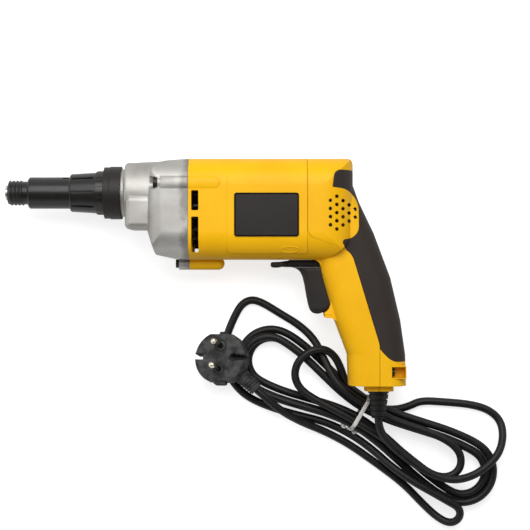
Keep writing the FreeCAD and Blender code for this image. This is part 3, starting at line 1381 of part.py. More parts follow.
# Strain relief: a tapered rubber boot with bending ribs, its root held in the foot by both mouldings
BOOT_RIBS = 5
boot_corners = [("0", BOOT_END), ("dim.boot_end_radius", BOOT_END)]
for number in range(BOOT_RIBS):
    for share, groove in ((0.25, "dim.boot_groove"), (0.5, "dim.boot_groove"), (0.5, "0"), (1.0, "0")):
        along = (number + share) / BOOT_RIBS
        radius = f"dim.boot_end_radius + (dim.boot_radius - dim.boot_end_radius) * {along} - {groove}"
        if share == 0.25:
            rim = f"dim.boot_end_radius + (dim.boot_radius - dim.boot_end_radius) * {along}"
            boot_corners.append((rim, f"{BOOT_END} + dim.boot_length * {along}"))
        boot_corners.append((radius, f"{BOOT_END} + dim.boot_length * {along}"))
boot_corners += [
    ("dim.boot_root_radius", FOOT_BOTTOM),
    ("dim.boot_root_radius", f"{FOOT_BOTTOM} + dim.boot_root_length"),
    ("0", f"{FOOT_BOTTOM} + dim.boot_root_length"),
]
turned("strain_relief", boot_corners, {"x": "dim.boot_x", "y": "0", "z": "0"}, "V_Axis")

# Inner lead: the cord's end inside the handle, held by the cord clamp and its two screws
seat(rod("inner_lead", "dim.cord_diameter / 2", f"{FOOT_BOTTOM} + dim.boot_root_length", "dim.inner_lead_length",
         along="y", x="dim.boot_x"), "inner_lead", {"x": "dim.boot_x", "y": f"{FOOT_BOTTOM} + dim.boot_root_length",
                                                    "z": "0"})
CLAMP_FRONT = "(dim.boot_x + dim.cord_diameter / 2 + dim.running_clearance)"
CLAMP_MIDDLE = f"({CLAMP_TOP} - dim.clamp_height / 2)"
clamp_bar = block("clamp_bar", (CLAMP_FRONT, f"{CLAMP_TOP} - dim.clamp_height", "-dim.clamp_width / 2"),
                  ("dim.clamp_length", "dim.clamp_height", "dim.clamp_width"))
clamp_holes = []
clamp_screws = []
for side, word in (("", "left"), ("-", "right")):
    place = {"y": CLAMP_MIDDLE, "z": f"{side}dim.clamp_screw_out"}
    clamp_holes.append(rod(f"clamp_bar_hole_{word}", "dim.clamp_screw_radius + dim.running_clearance", CLAMP_FRONT,
                           "dim.clamp_length", **place))
    stem = rod(f"clamp_screw_stem_{word}", "dim.clamp_screw_radius", f"{SADDLE_BACK} - dim.clamp_screw_length",
               f"{CLAMP_FRONT} + dim.clamp_length - {SADDLE_BACK} + dim.clamp_screw_length", **place)
    head = rod(f"clamp_screw_head_{word}", "2 * dim.clamp_screw_radius", f"{CLAMP_FRONT} + dim.clamp_length",
               "dim.clamp_screw_radius", **place)
    clamp_screws.append(join(f"clamp_screw_{word}", [stem, head]))
seat(cut("cord_clamp", clamp_bar, join("clamp_bar_holes", clamp_holes)), "cord_clamp")
group = doc.addObject("Part::Compound", "cord_clamp_screws")
group.Links = clamp_screws
seat(group, "cord_clamp_screws")

# Cover screws: driven forward from the notches at the foot of the handle
cover_screws = []
for side, word in (("", "left"), ("-", "right")):
    place = {"y": COVER_SCREW_Y, "z": f"{side}dim.cover_screw_out"}
    stem = rod(f"cover_screw_stem_{word}", "dim.clamp_screw_radius", "dim.notch_front - dim.cover_screw_length",
               "dim.cover_screw_length", **place)
    head = rod(f"cover_screw_head_{word}", "dim.cover_screw_head_radius", "dim.notch_front",
               "dim.cover_screw_head_length", **place)
    drive = rod(f"cover_screw_drive_{word}", "dim.clamp_screw_radius",
                "dim.notch_front + dim.cover_screw_head_length / 2", "dim.overrun", **place)
    cover_screws.append(cut(f"cover_screw_{word}", join(f"cover_screw_blank_{word}", [stem, head]), drive))
group = doc.addObject("Part::Compound", "cover_screws")
group.Links = cover_screws
seat(group, "cover_screws")

# Switch: a moulded box with a bore for the trigger's stem and a pin for the reversing lever
STEM_LEVEL = "(-dim.switch_drop - dim.switch_height / 2)"
switch_solid = join("switch_solid", [
    block("switch_box", ("dim.switch_front", "-dim.switch_drop - dim.switch_height", "-dim.switch_width / 2"),
          ("dim.switch_length", "dim.switch_height", "dim.switch_width")),
    rod("lever_pin", "dim.lever_pin_radius", "-dim.switch_drop", f"{LEVER_TOP} + dim.switch_drop", along="y",
        x="dim.lever_pivot"),
    rod("lever_collar", "2 * dim.lever_pin_radius", "-dim.switch_drop",
        f"{LEVER_TOP} - dim.lever_height - dim.piece_clearance + dim.switch_drop", along="y", x="dim.lever_pivot"),
])
switch_bore = rod("switch_bore", "dim.stem_radius + dim.piece_clearance", "dim.switch_front",
                  "dim.switch_length - dim.wall", y=STEM_LEVEL)
seat(cut("switch", switch_solid, switch_bore), "switch")

# Trigger: a curved finger piece on a stem. Its outline is in shares of its depth, height and width.
TRIGGER_OUTLINE_SHARES = (
    (0.00, 0.00, 0.02),
    (0.00, -0.03, 0.02),
    (0.27, -0.06, 0.76),
    (0.49, -0.94, 0.20),
    (0.66, -1.00, 0.25),
    (1.00, -0.82, 0.15),
    (0.84, 0.00, 0.10),
)
trigger_corners = [
    (f"dim.trigger_front + dim.trigger_depth * {across}", f"-dim.trigger_drop + dim.trigger_height * {up}",
     f"dim.trigger_width * {bend}")
    for across, up, bend in TRIGGER_OUTLINE_SHARES
]
trigger_stem = rod("trigger_stem", "dim.stem_radius", "dim.trigger_front + dim.trigger_depth / 2",
                   "dim.switch_front + dim.stem_length - dim.trigger_front - dim.trigger_depth / 2", y=STEM_LEVEL)
trigger_block = side_prism("trigger_block", trigger_corners, "dim.trigger_width / 2")
seat(join("trigger", [trigger_block, trigger_stem]), "trigger")

# Reversing lever: an arm above the trigger with a paddle in front, turning on the switch's pin
PADDLE_BACK = "(dim.lever_front + dim.paddle_length)"
LEVER_BACK = "(dim.lever_pivot + 2 * dim.lever_pin_radius)"
lever_arm = extrude("lever_arm", loose_sketch("lever_outline", "XZ", LEVER_TOP, [
    ("dim.lever_front", "-dim.paddle_width / 2", "dim.lever_round"),
    (PADDLE_BACK, "-dim.paddle_width / 2", "dim.lever_round"),
    (f"{PADDLE_BACK} + dim.lever_round", "-dim.lever_width / 2", "dim.lever_round / 2"),
    (LEVER_BACK, "-dim.lever_width / 2", "dim.lever_round"),
    (LEVER_BACK, "dim.lever_width / 2", "dim.lever_round"),
    (f"{PADDLE_BACK} + dim.lever_round", "dim.lever_width / 2", "dim.lever_round / 2"),
    (PADDLE_BACK, "dim.paddle_width / 2", "dim.lever_round"),
    ("dim.lever_front", "dim.paddle_width / 2", "dim.lever_round"),
]), "dim.lever_height")
lever_hole = rod("lever_hole", "dim.lever_pin_radius + dim.running_clearance", "-dim.switch_drop", "dim.switch_drop",
                 along="y", x="dim.lever_pivot")
seat(cut("reversing_lever", lever_arm, lever_hole), "reversing_lever")

# Mains cord: from the boot to the tied hank, round the hank's loops, and on to the plug.
# It is laid in the hank's own frame, which stands on the resting surface: X along the hank, Y across it.
HANK_TURN = 30
hank_place = FreeCAD.Placement(
    FreeCAD.Vector(value(f"{FRAME['x']} + dim.boot_x - dim.hank_before_boot"),
                   value(f"{FRAME['y']} + {BOOT_END} + dim.hank_above_boot"), 0),
    FreeCAD.Rotation(FreeCAD.Vector(0, 0, 1), -HANK_TURN))
cord_radius = value("dim.cord_diameter / 2")
FIRST_LAYER = cord_radius
SECOND_LAYER = value("dim.cord_diameter / 2 + dim.hank_layer_step")
TIE_LIFT = value("dim.tie_thickness + dim.running_clearance")
ARC_SHARE = 0.45
STRAIGHT_SHARE = 1e-6


def lay(label, shape, place=hank_place):
    """Name a piece that lies beside the tool, in its own frame on the resting surface."""
    feature = doc.addObject("Part::Feature", label)
    feature.Shape = shape
    feature.Placement = place
    nodes[label] = feature
    return feature


def cord_route(points):
    """Edges of a free cord: straight runs joined by tangent arcs, with the radius of each arc."""
    edges = []
    radii = []
    last = points[0]
    for before, corner, after in zip(points, points[1:], points[2:]):
        back = before - corner
        ahead = after - corner
        reach = ARC_SHARE * min(back.Length, ahead.Length)
        back.normalize()
        ahead.normalize()
        half_turn = (math.pi - back.getAngle(ahead)) / 2
        radius = reach / math.tan(half_turn)
        middle = corner + (back + ahead).normalize() * (radius / math.cos(half_turn) - radius)
        entry = corner + back * reach
        leave = corner + ahead * reach
        edges.append(Part.LineSegment(last, entry).toShape())
        edges.append(Part.Arc(entry, middle, leave).toShape())
        radii.append(radius)
        last = leave
    edges.append(Part.LineSegment(last, points[-1]).toShape())
    return edges, radii


def bent_edge(start, heading, end):
    """The arc that leaves a point along its heading and meets the end, or a line where they are in line."""
    chord = end - start
    aside = heading - chord * (heading.dot(chord) / chord.dot(chord))
    if aside.Length < STRAIGHT_SHARE:
        return Part.LineSegment(start, end).toShape()
    rise = chord.Length / 2 * math.tan(heading.getAngle(chord) / 2)
    return Part.Arc(start, (start + end) * 0.5 + aside.normalize() * rise, end).toShape()


def biarc(start, heading, end, arrival):
    """Two tangent arcs between two points with their headings."""
    chord = end - start
    turned_share = 2 * (1 - heading.dot(arrival))
    both = chord.dot(heading + arrival)
    if turned_share < STRAIGHT_SHARE:
        reach = chord.dot(chord) / (4 * chord.dot(arrival))
    else:
        reach = (math.sqrt(both * both + turned_share * chord.dot(chord)) - both) / turned_share
    leave = start + heading * reach
    meet = end - arrival * reach
    joint = (leave + meet) * 0.5
    joint_heading = (meet - leave).normalize()
    return [bent_edge(start, heading, joint), bent_edge(joint, joint_heading, end)]


def cord_tube(label, edges):
    """A round cord along its edges, with its length and its least gap to itself printed."""
    wire = Part.Wire(edges)
    start = edges[0].Vertexes[0].Point
    heading = edges[0].tangentAt(edges[0].FirstParameter)
    section = Part.Wire(Part.Circle(start, heading, cord_radius).toShape())
    tube = wire.makePipeShell([section], True, False)
    spacing = cord_radius / 2
    points = wire.discretize(Distance=spacing)
    skip = math.ceil(math.pi * value("dim.cord_diameter") / spacing)
    gap = min(points[first].distanceToPoint(points[second])
              for first in range(len(points)) for second in range(first + skip, len(points), 2))
    filled = tube.Volume / (wire.Length * math.pi * cord_radius ** 2)
    print(f"{label}: {wire.Length:.0f} mm long, volume {filled:.3f} of section by length,"
          f" gap to itself {gap - 2 * cord_radius:.2f} mm")
    return lay(label, tube)


# Hank: three loops in two layers. Each half loop is its end, the columns that it comes from and goes to, and its layer.
LEFT, RIGHT = -1, 1
INNER, OUTER = 0, 1
HALF_LOOPS = (
    (LEFT, OUTER, OUTER, FIRST_LAYER),
    (RIGHT, OUTER, INNER, FIRST_LAYER),
    (LEFT, INNER, INNER, FIRST_LAYER),
    (RIGHT, INNER, INNER, SECOND_LAYER),
    (LEFT, INNER, OUTER, SECOND_LAYER),
    (RIGHT, OUTER, OUTER, SECOND_LAYER),
)
TURN_CENTRES = {LEFT: value("dim.hank_left"), RIGHT: value("dim.hank_right")}
turn_radii = [value(f"dim.hank_turn_radius + dim.hank_turn_step * {column}") for column in (INNER, OUTER)]
waist_offsets = [value(f"dim.hank_waist + dim.hank_waist_step * {column}") for column in (INNER, OUTER)]
waist_out = waist_offsets[OUTER]
cord_end = value("dim.cord_diameter")
ALONG_HANK = FreeCAD.Vector(1, 0, 0)
ACROSS_HANK = FreeCAD.Vector(0, 1, 0)
knots = [
    (FreeCAD.Vector(cord_end, waist_out, FIRST_LAYER + TIE_LIFT), -ALONG_HANK),
    (FreeCAD.Vector(0, waist_out, FIRST_LAYER + TIE_LIFT), -ALONG_HANK),
]
for number, (end, column_in, column_out, layer) in enumerate(HALF_LOOPS):
    centre = end * TURN_CENTRES[end]
    radius_in, radius_out = turn_radii[column_in], turn_radii[column_out]
    apex = FreeCAD.Vector(centre + end * (radius_in + radius_out) / 2, end * (radius_out - radius_in) / 2, layer)
    knots.append((FreeCAD.Vector(centre, -end * radius_in, layer), ALONG_HANK * end))
    knots.append((apex, ACROSS_HANK * end))
    knots.append((FreeCAD.Vector(centre, end * radius_out, layer), ALONG_HANK * -end))
    next_layer = HALF_LOOPS[number + 1][3] if number + 1 < len(HALF_LOOPS) else layer
    climb = FreeCAD.Vector(-end * (TURN_CENTRES[LEFT] + TURN_CENTRES[RIGHT]), 0, next_layer - layer)
    waist = FreeCAD.Vector(0, end * waist_offsets[column_out], (layer + next_layer) / 2 + TIE_LIFT)
    knots.append((waist, climb.normalize()))
knots.append((FreeCAD.Vector(-cord_end, waist_out, SECOND_LAYER + TIE_LIFT), -ALONG_HANK))
hank_edges = []
for (start, heading), (end, arrival) in zip(knots, knots[1:]):
    if (end - start).getAngle(heading) < STRAIGHT_SHARE:
        hank_edges.append(Part.LineSegment(start, end).toShape())
    else:
        hank_edges += biarc(start, heading, end, arrival)
cord_tube("cord_hank", hank_edges)

# Lead: out of the boot, over the right end of the hank, down and back along the floor to the hank's first turn
LEAD_ROUTE = (
    (28.2, -8.2, 28.5), (43.7, -11.8, 25.0), (62.7, -14.0, 24.5), (78.2, -13.4, 24.3), (92.3, -8.6, 24.0),
    (103.0, 0.9, 21.5), (110.2, 13.5, 19.0), (113.9, 28.3, 16.0), (111.3, 41.7, 8.5), (103.6, 51.8, 3.4),
    (90.2, 54.4, 3.2), (74.7, 50.2, 3.2), (56.8, 41.8, 3.2), (39.1, 33.0, 3.2), (33.0, 24.0, 3.2), (25.5, 16.6, 3.2),
)
to_hank = hank_place.inverse()
boot_mouth = to_hank.multVec(FreeCAD.Vector(value(f"{FRAME['x']} + dim.boot_x"), value(f"{FRAME['y']} + {BOOT_END}"),
                                            value(FRAME["z"])))
boot_heading = to_hank.Rotation.multVec(FreeCAD.Vector(0, -1, 0))
lead_points = [boot_mouth, boot_mouth + boot_heading * value("dim.cord_exit")]
lead_points += [FreeCAD.Vector(point) for point in LEAD_ROUTE]
hank_start = knots[0][0]
lead_points += [hank_start + ALONG_HANK * value("dim.cord_meet"), hank_start]
lead_edges, lead_radii = cord_route(lead_points)
cord_tube("cord_lead", lead_edges)

# Plug: a moulded two-pin plug that leans on the cord, with a tapered neck to one side. It is laid face up.
PLUG_TILTS = (HANK_TURN, -18, -14.5)
NECK_SHARES = (0.724, -0.600, -0.342)
plug_place = FreeCAD.Placement(
    FreeCAD.Vector(value("-dim.plug_along"), value("-dim.plug_aside"), value("dim.plug_height")),
    FreeCAD.Rotation(*PLUG_TILTS))
neck_heading = FreeCAD.Vector(NECK_SHARES).normalize()
neck_start = FreeCAD.Vector(0, 0, -value("dim.plug_neck_start"))
neck_end = neck_start + neck_heading * value("dim.plug_neck_length")

# Tail: from the hank's last turn twice over the hank, round its left end, along its lower side and back to the plug
TAIL_ROUTE = (
    (-24.0, 16.2, 10.9), (-32.0, 23.5, 10.9), (-41.0, 29.5, 12.8), (-51.0, 30.7, 15.9), (-59.0, 25.5, 17.4),
    (-63.5, 17.5, 17.6), (-65.0, 8.0, 17.4), (-61.5, -1.5, 17.3), (-52.0, -8.0, 17.3), (-36.0, -9.0, 17.5),
    (-12.0, -7.7, 18.3), (12.0, -7.5, 18.3), (36.0, -9.0, 17.5), (58.0, -12.5, 17.3), (74.0, -14.5, 17.3),
    (87.0, -10.5, 17.3), (93.0, 0.5, 17.3), (87.5, 12.0, 17.3), (74.0, 16.5, 17.3), (52.0, 14.0, 17.3),
    (28.0, 8.6, 17.8), (6.0, 7.4, 18.4), (-14.0, 8.2, 18.2), (-31.0, 12.0, 16.0), (-47.0, 22.6, 11.4),
    (-62.0, 33.0, 5.6), (-79.0, 36.8, 3.2), (-96.0, 37.0, 3.2), (-113.0, 37.6, 3.2), (-123.0, 35.5, 3.2),
    (-128.0, 28.0, 3.2), (-128.0, 17.0, 3.2), (-126.5, 4.0, 3.2), (-123.0, -10.0, 3.2), (-115.0, -22.5, 3.2),
    (-103.0, -31.0, 3.2), (-87.0, -35.8, 3.2), (-67.0, -34.0, 3.2), (-45.0, -28.7, 3.2), (-20.0, -21.2, 3.2),
    (4.0, -19.6, 3.2), (24.0, -21.5, 5.0), (44.0, -25.4, 13.4), (64.0, -26.9, 17.2), (82.0, -26.6, 17.3),
    (97.0, -26.5, 17.3), (107.3, -26.5, 16.6), (112.0, -31.2, 14.8), (112.0, -37.8, 12.0), (107.3, -42.5, 9.0),
    (97.0, -43.0, 5.0), (82.0, -39.5, 3.2), (60.0, -33.0, 3.2), (32.0, -29.8, 3.2), (5.0, -27.4, 3.2),
    (-18.0, -28.4, 4.5), (-38.0, -31.0, 9.5), (-57.4, -30.6, 18.4),
)
hank_end = knots[-1][0]
plug_mouth = plug_place.multVec(neck_end)
plug_heading = plug_place.Rotation.multVec(neck_heading)
tail_points = [hank_end, hank_end - ALONG_HANK * value("dim.cord_meet")]
tail_points += [FreeCAD.Vector(point) for point in TAIL_ROUTE]
tail_points += [plug_mouth + plug_heading * value("dim.cord_enter"), plug_mouth]
tail_edges, tail_radii = cord_route(tail_points)
cord_tube("cord_tail", tail_edges)
print("Cord bends, mm:", " ".join(f"{radius:.0f}" for radius in lead_radii + tail_radii))

# Cable tie: a plain band round the waist of the hank and the two runs over it
TIE_FLOOR = "dim.tie_thickness"


def tie_prism(name, grow):
    reach, top_reach = f"(dim.tie_reach + {grow})", f"(dim.tie_top_reach + {grow})"
    low, high = f"{TIE_FLOOR} - {grow}", f"dim.tie_top + {grow}"
    corner = f"dim.tie_round + {grow}"
    return extrude(name, loose_sketch(f"{name}_outline", "YZ", "-dim.tie_width / 2", [
        (f"-{reach}", low, corner), (reach, low, corner), (reach, "dim.tie_shoulder", corner),
        (top_reach, high, corner), (f"-{top_reach}", high, corner), (f"-{reach}", "dim.tie_shoulder", corner),
    ]), "dim.tie_width")


tie_band = cut("cable_tie", tie_prism("tie_outside", TIE_FLOOR), tie_prism("tie_inside", "0"))
tie_band.Placement = hank_place
nodes["cable_tie"] = tie_band

# Plug body and pins, drawn with the face at Z = 0 and the pins along Y
plug_disc = doc.addObject("Part::Cylinder", "plug_disc")
bind(plug_disc, {
    "Radius": "dim.plug_radius",
    "Height": "dim.plug_thickness",
    "Placement.Base.z": "-dim.plug_thickness",
})
plug_flats = block("plug_flats", ("-dim.plug_radius", "-dim.plug_flat", "-dim.plug_thickness"),
                   ("2 * dim.plug_radius", "2 * dim.plug_flat", "dim.plug_thickness"))
plug_neck = doc.addObject("Part::Feature", "plug_neck")
plug_neck.Shape = Part.makeCone(value("dim.plug_neck_radius"), value("dim.plug_neck_end_radius"),
                                value("dim.plug_neck_length"), neck_start, neck_heading)
plug_solid = join("plug_solid", [common("plug_head", [plug_disc, plug_flats]), plug_neck])
NOTCH_FLOOR = "-dim.plug_notch_depth"
plug_cuts = [
    block("plug_notch", ("-dim.plug_radius", "-dim.plug_notch_width / 2", NOTCH_FLOOR),
          ("dim.plug_notch_length", "dim.plug_notch_width", "dim.plug_notch_depth + dim.overrun")),
    block("earth_slot", ("dim.earth_hole_out", "-dim.earth_slot_width / 2", NOTCH_FLOOR),
          ("dim.plug_radius", "dim.earth_slot_width", "dim.plug_notch_depth + dim.overrun")),
    rod("earth_hole", "dim.earth_hole_radius", NOTCH_FLOOR, "dim.plug_notch_depth + dim.overrun", along="z",
        x="dim.earth_hole_out"),
]
plug_pins = []
for side, word in ((1, "upper"), (-1, "lower")):
    line = f"{side} * dim.pin_spacing / 2"
    plug_cuts.append(rod(f"pin_recess_{word}", "dim.plug_recess_radius", "-dim.plug_recess_depth",
                         "dim.plug_recess_depth + dim.overrun", along="z", y=line))
    plug_cuts.append(rod(f"pin_hole_{word}", "dim.pin_root_radius + dim.running_clearance", "-dim.pin_root",
                         "dim.pin_root + dim.overrun", along="z", y=line))
    plug_pins.append(join(f"plug_pin_{word}", [
        rod(f"pin_root_{word}", "dim.pin_root_radius", "-dim.pin_root", "dim.pin_root", along="z", y=line),
        rod(f"pin_stem_{word}", "dim.pin_radius", "0", "dim.pin_length", along="z", y=line),
    ]))
plug_body = cut("plug_body", plug_solid, join("plug_cuts", plug_cuts))
pin_group = doc.addObject("Part::Compound", "plug_pins")
pin_group.Links = plug_pins
for label, feature in (("plug_body", plug_body), ("plug_pins", pin_group)):
    feature.Label = label
    feature.Placement = hank_place.multiply(plug_place)
    nodes[label] = feature

# Check every piece, then write it
doc.recompute()
for feature in doc.Objects:
    if "Invalid" in feature.State or "Error" in feature.State:
        raise RuntimeError(f"{feature.Label} failed: {feature.State}")
os.makedirs("parts", exist_ok=True)
for label, feature in nodes.items():
    shape = feature.Shape
    if shape.isNull() or not shape.isValid() or not shape.Solids:
        raise RuntimeError(f"{label} has no valid solid")
    shape.exportStep(f"parts/{label}.step")
    box = shape.BoundBox
    print(f"{label}: {len(shape.Solids)} solids, {shape.Volume:.0f} mm3,"
          f" X {box.XMin:.2f} {box.XMax:.2f} Y {box.YMin:.2f} {box.YMax:.2f} Z {box.ZMin:.2f} {box.ZMax:.2f}")
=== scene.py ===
import math

import bmesh
import bpy
from mathutils import Euler, Matrix, Vector


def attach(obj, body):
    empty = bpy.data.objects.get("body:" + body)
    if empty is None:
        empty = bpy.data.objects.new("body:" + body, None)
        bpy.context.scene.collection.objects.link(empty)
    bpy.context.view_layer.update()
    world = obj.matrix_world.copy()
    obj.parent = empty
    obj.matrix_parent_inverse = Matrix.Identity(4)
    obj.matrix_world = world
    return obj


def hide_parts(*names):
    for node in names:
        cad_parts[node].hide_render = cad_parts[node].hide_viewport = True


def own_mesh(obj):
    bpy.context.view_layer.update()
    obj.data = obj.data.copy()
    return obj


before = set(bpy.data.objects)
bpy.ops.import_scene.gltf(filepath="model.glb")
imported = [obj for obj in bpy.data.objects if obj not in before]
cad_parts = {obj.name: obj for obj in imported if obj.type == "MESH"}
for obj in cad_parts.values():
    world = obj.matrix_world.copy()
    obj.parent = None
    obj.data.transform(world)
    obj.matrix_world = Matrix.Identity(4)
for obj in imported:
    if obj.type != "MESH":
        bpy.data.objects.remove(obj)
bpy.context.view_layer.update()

# Housing: the motor barrel and the raked handle, two injection mouldings of glass-filled nylon that meet at a
# fine seam. Screws at the gear case and in the handle's foot hold them together.
MM = 0.001
CAD_CREASE = math.radians(28)


def linear(hex_colour):
    """sRGB hex to the linear colour that a shader takes."""
    shades = [int(hex_colour[place:place + 2], 16) / 255 for place in (1, 3, 5)]
    return tuple(s / 12.92 if s <= 0.04045 else ((s + 0.055) / 1.055) ** 2.4 for s in shades) + (1.0,)


def wire(node, inputs):
    """Sets a node's inputs to a value, or links them to a socket."""
    for name, source in inputs.items():
        if isinstance(source, bpy.types.NodeSocket):
            node.id_data.links.new(source, node.inputs[name])
        else:
            node.inputs[name].default_value = source


def add_node(tree, kind, inputs, colours=(), **settings):
    """Adds a node with its settings and inputs and, on a colour ramp, its places and colours."""
    node = tree.nodes.new(kind)
    for name, setting in settings.items():
        setattr(node, name, setting)
    for number, (position, colour) in enumerate(colours):
        node.color_ramp.elements[number].position = position
        node.color_ramp.elements[number].color = linear(colour)
    wire(node, inputs)
    return node


def finish_named(name, roughness, ior=1.5, metallic=0.0, specular=0.5):
    """A new finish: its material, its tree, its shader and the place on the piece that patterns follow."""
    finish = bpy.data.materials.new(name)
    finish.use_nodes = True
    shader = finish.node_tree.nodes["Principled BSDF"]
    wire(shader, {"Roughness": roughness, "IOR": ior, "Metallic": metallic, "Specular IOR Level": specular})
    place = add_node(finish.node_tree, "ShaderNodeTexCoord", {})
    return finish, finish.node_tree, shader, place.outputs["Object"]


def dress(finish, *names):
    """Gives CAD pieces their finish, with faces that curve shaded smooth."""
    for name in names:
        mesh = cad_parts[name].data
        mesh.materials.clear()
        mesh.materials.append(finish)
        mesh.shade_smooth()
        mesh.set_sharp_from_angle(angle=CAD_CREASE)


# Glass-filled nylon, moulded in an eroded tool: a warm yellow that goes a little deeper where the flow was
# slow, with a fine grain that breaks up its gloss. The real grain is 0.3 mm, drawn at 0.9 mm to show.
GRAIN = 0.9 * MM
yellow_nylon, tree, shader, place = finish_named("moulded_yellow_nylon", 0.42, 1.53, specular=0.15)
flow = add_node(tree, "ShaderNodeTexNoise", {"Vector": place, "Scale": 1 / (38 * MM), "Detail": 3.0})
tone = add_node(tree, "ShaderNodeValToRGB", {"Fac": flow.outputs["Fac"]},
                ((0.3, "#EDB008"), (0.7, "#F5BC10")))
grain = add_node(tree, "ShaderNodeTexNoise", {"Vector": place, "Scale": 1 / GRAIN, "Detail": 2.0})
gloss = add_node(tree, "ShaderNodeMapRange", {"Value": grain.outputs["Fac"], "To Min": 0.36, "To Max": 0.5})
soft_edge = add_node(tree, "ShaderNodeBevel", {"Radius": 0.7 * MM}, samples=4)
relief = add_node(tree, "ShaderNodeBump", {"Height": grain.outputs["Fac"], "Strength": 0.12,
                                           "Distance": 0.05 * MM, "Normal": soft_edge.outputs["Normal"]})
wire(shader, {"Base Color": tone.outputs["Color"], "Roughness": gloss.outputs["Result"],
              "Normal": relief.outputs["Normal"]})
dress(yellow_nylon, "field_case", "handle_cover")

# Oval mark: a thin raised ring on the barrel's lower flank, of the same yellow nylon.
# It is moulded in one with the barrel, and empty inside.
FLANK_CENTRE = (34.25, 45.2)
FLANK_RADIUS = 22.8
OVAL_MIDDLE = (66.6, 20.2)
OVAL_REACH = (6.8, 2.3)
OVAL_TUBE = 0.4
OVAL_POINTS = 32


def flank_height(y):
    """Height of the barrel's rounded flank over a place across it, in mm."""
    return FLANK_CENTRE[1] + math.sqrt(FLANK_RADIUS ** 2 - (FLANK_CENTRE[0] - y) ** 2)


def tube(name, spots, radius, finish, slot, closed=False, **settings):
    """A round tube on the housing along one smooth line, in metres, open or closed."""
    curve = bpy.data.curves.new(name, "CURVE")
    curve.dimensions = "3D"
    curve.bevel_depth = radius
    for setting, choice in settings.items():
        setattr(curve, setting, choice)
    line = curve.splines.new("NURBS")
    line.points.add(len(spots) - 1)
    for point, spot in zip(line.points, spots):
        point.co = (*spot, 1.0)
    line.use_cyclic_u = closed
    line.order_u = 3
    line.use_endpoint_u = not closed
    curve.materials.append(finish)
    piece = bpy.data.objects.new(name, curve)
    bpy.context.scene.collection.objects.link(piece)
    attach(piece, "housing")
    return piece


oval_spots = []
for number in range(OVAL_POINTS):
    turn = 2 * math.pi * number / OVAL_POINTS
    x = OVAL_MIDDLE[0] + OVAL_REACH[0] * math.cos(turn)
    y = OVAL_MIDDLE[1] + OVAL_REACH[1] * math.sin(turn)
    oval_spots.append((x * MM, y * MM, flank_height(y) * MM))
tube("oval_mark", oval_spots, OVAL_TUBE * MM, yellow_nylon, "yellow_housing", closed=True, bevel_resolution=3)

# Name plate: a bare film plate, set in a shallow pocket of the left panel.
# Polycarbonate film, coloured through: an even dark brown with a soft gloss. Its satin texture is 0.2 mm,
# drawn at 1.1 mm to show.
dark_film, tree, shader, place = finish_named("satin_polycarbonate_film", 0.4, 1.58, specular=0.2)
grain = add_node(tree, "ShaderNodeTexNoise", {"Vector": place, "Scale": 1 / (1.1 * MM)})
cloud = add_node(tree, "ShaderNodeTexNoise", {"Vector": place, "Scale": 1 / (25 * MM)})
tone = add_node(tree, "ShaderNodeValToRGB", {"Fac": cloud.outputs["Fac"]}, ((0, "#1A1614"), (1, "#241F1C")))
gloss = add_node(tree, "ShaderNodeMapRange", {"Value": grain.outputs["Fac"], "To Min": 0.34, "To Max": 0.48})
relief = add_node(tree, "ShaderNodeBump", {"Height": grain.outputs["Fac"], "Strength": 0.1,
                                           "Distance": 0.02 * MM})
wire(shader, {"Base Color": tone.outputs["Color"], "Roughness": gloss.outputs["Result"],
              "Normal": relief.outputs["Normal"]})
dress(dark_film, "name_plate")

# Plate rim: a narrow border along the plate's edge, printed in thick black ink.
# Cured screen ink: deep black, smooth, with a faint orange peel.
black_ink, tree, shader, place = finish_named("printed_border_ink", 0.5, 1.5, specular=0.06)
peel = add_node(tree, "ShaderNodeTexNoise", {"Vector": place, "Scale": 1 / (1.5 * MM)})
tone = add_node(tree, "ShaderNodeValToRGB", {"Fac": peel.outputs["Fac"]}, ((0, "#0B0908"), (1, "#14100E")))
wire(shader, {"Base Color": tone.outputs["Color"]})
PLATE_OUTLINE = ((23.5, 30.35), (73.7, 30.35), (73.7, 64.15), (23.5, 64.15))
PLATE_TOP = 68.4
RIM_ROUND = 2.0
RIM_WIDTH = 1.1
RIM_HEIGHT = 0.15
CORNER_STEPS = 5
PIECE_CREASE = math.radians(35)


def rounded_loop(corners, radius):
    """Points and outward normals along a closed outline with round corners."""
    loop = []
    spots = [Vector(corner) for corner in corners]
    for number, corner in enumerate(spots):
        back = (spots[number - 1] - corner).normalized()
        ahead = (spots[(number + 1) % len(spots)] - corner).normalized()
        half = back.angle(ahead) / 2
        centre = corner + (back + ahead).normalized() * radius / math.sin(half)
        first = corner + back * radius / math.tan(half) - centre
        sweep = math.pi - 2 * half
        for step in range(CORNER_STEPS + 1):
            turn = sweep * step / CORNER_STEPS
            spoke = Matrix.Rotation(turn, 2) @ first
            loop.append((centre + spoke, spoke.normalized()))
    return loop


def skin(name, rings, loop=False):
    """A mesh through rings of points in mm, closed in a loop or with its ends filled."""
    count = len(rings[0])
    points = [tuple(measure * MM for measure in spot) for ring in rings for spot in ring]
    faces = []
    for number in range(len(rings) if loop else len(rings) - 1):
        here = number * count
        there = (number + 1) % len(rings) * count
        for step in range(count):
            beside = (step + 1) % count
            faces.append((here + step, here + beside, there + beside, there + step))
    if not loop:
        faces.append(tuple(reversed(range(count))))
        faces.append(tuple(range(len(points) - count, len(points))))
    mesh = bpy.data.meshes.new(name)
    mesh.from_pydata(points, [], faces)
    shell = bmesh.new()
    shell.from_mesh(mesh)
    bmesh.ops.recalc_face_normals(shell, faces=shell.faces)
    shell.to_mesh(mesh)
    shell.free()
    return mesh


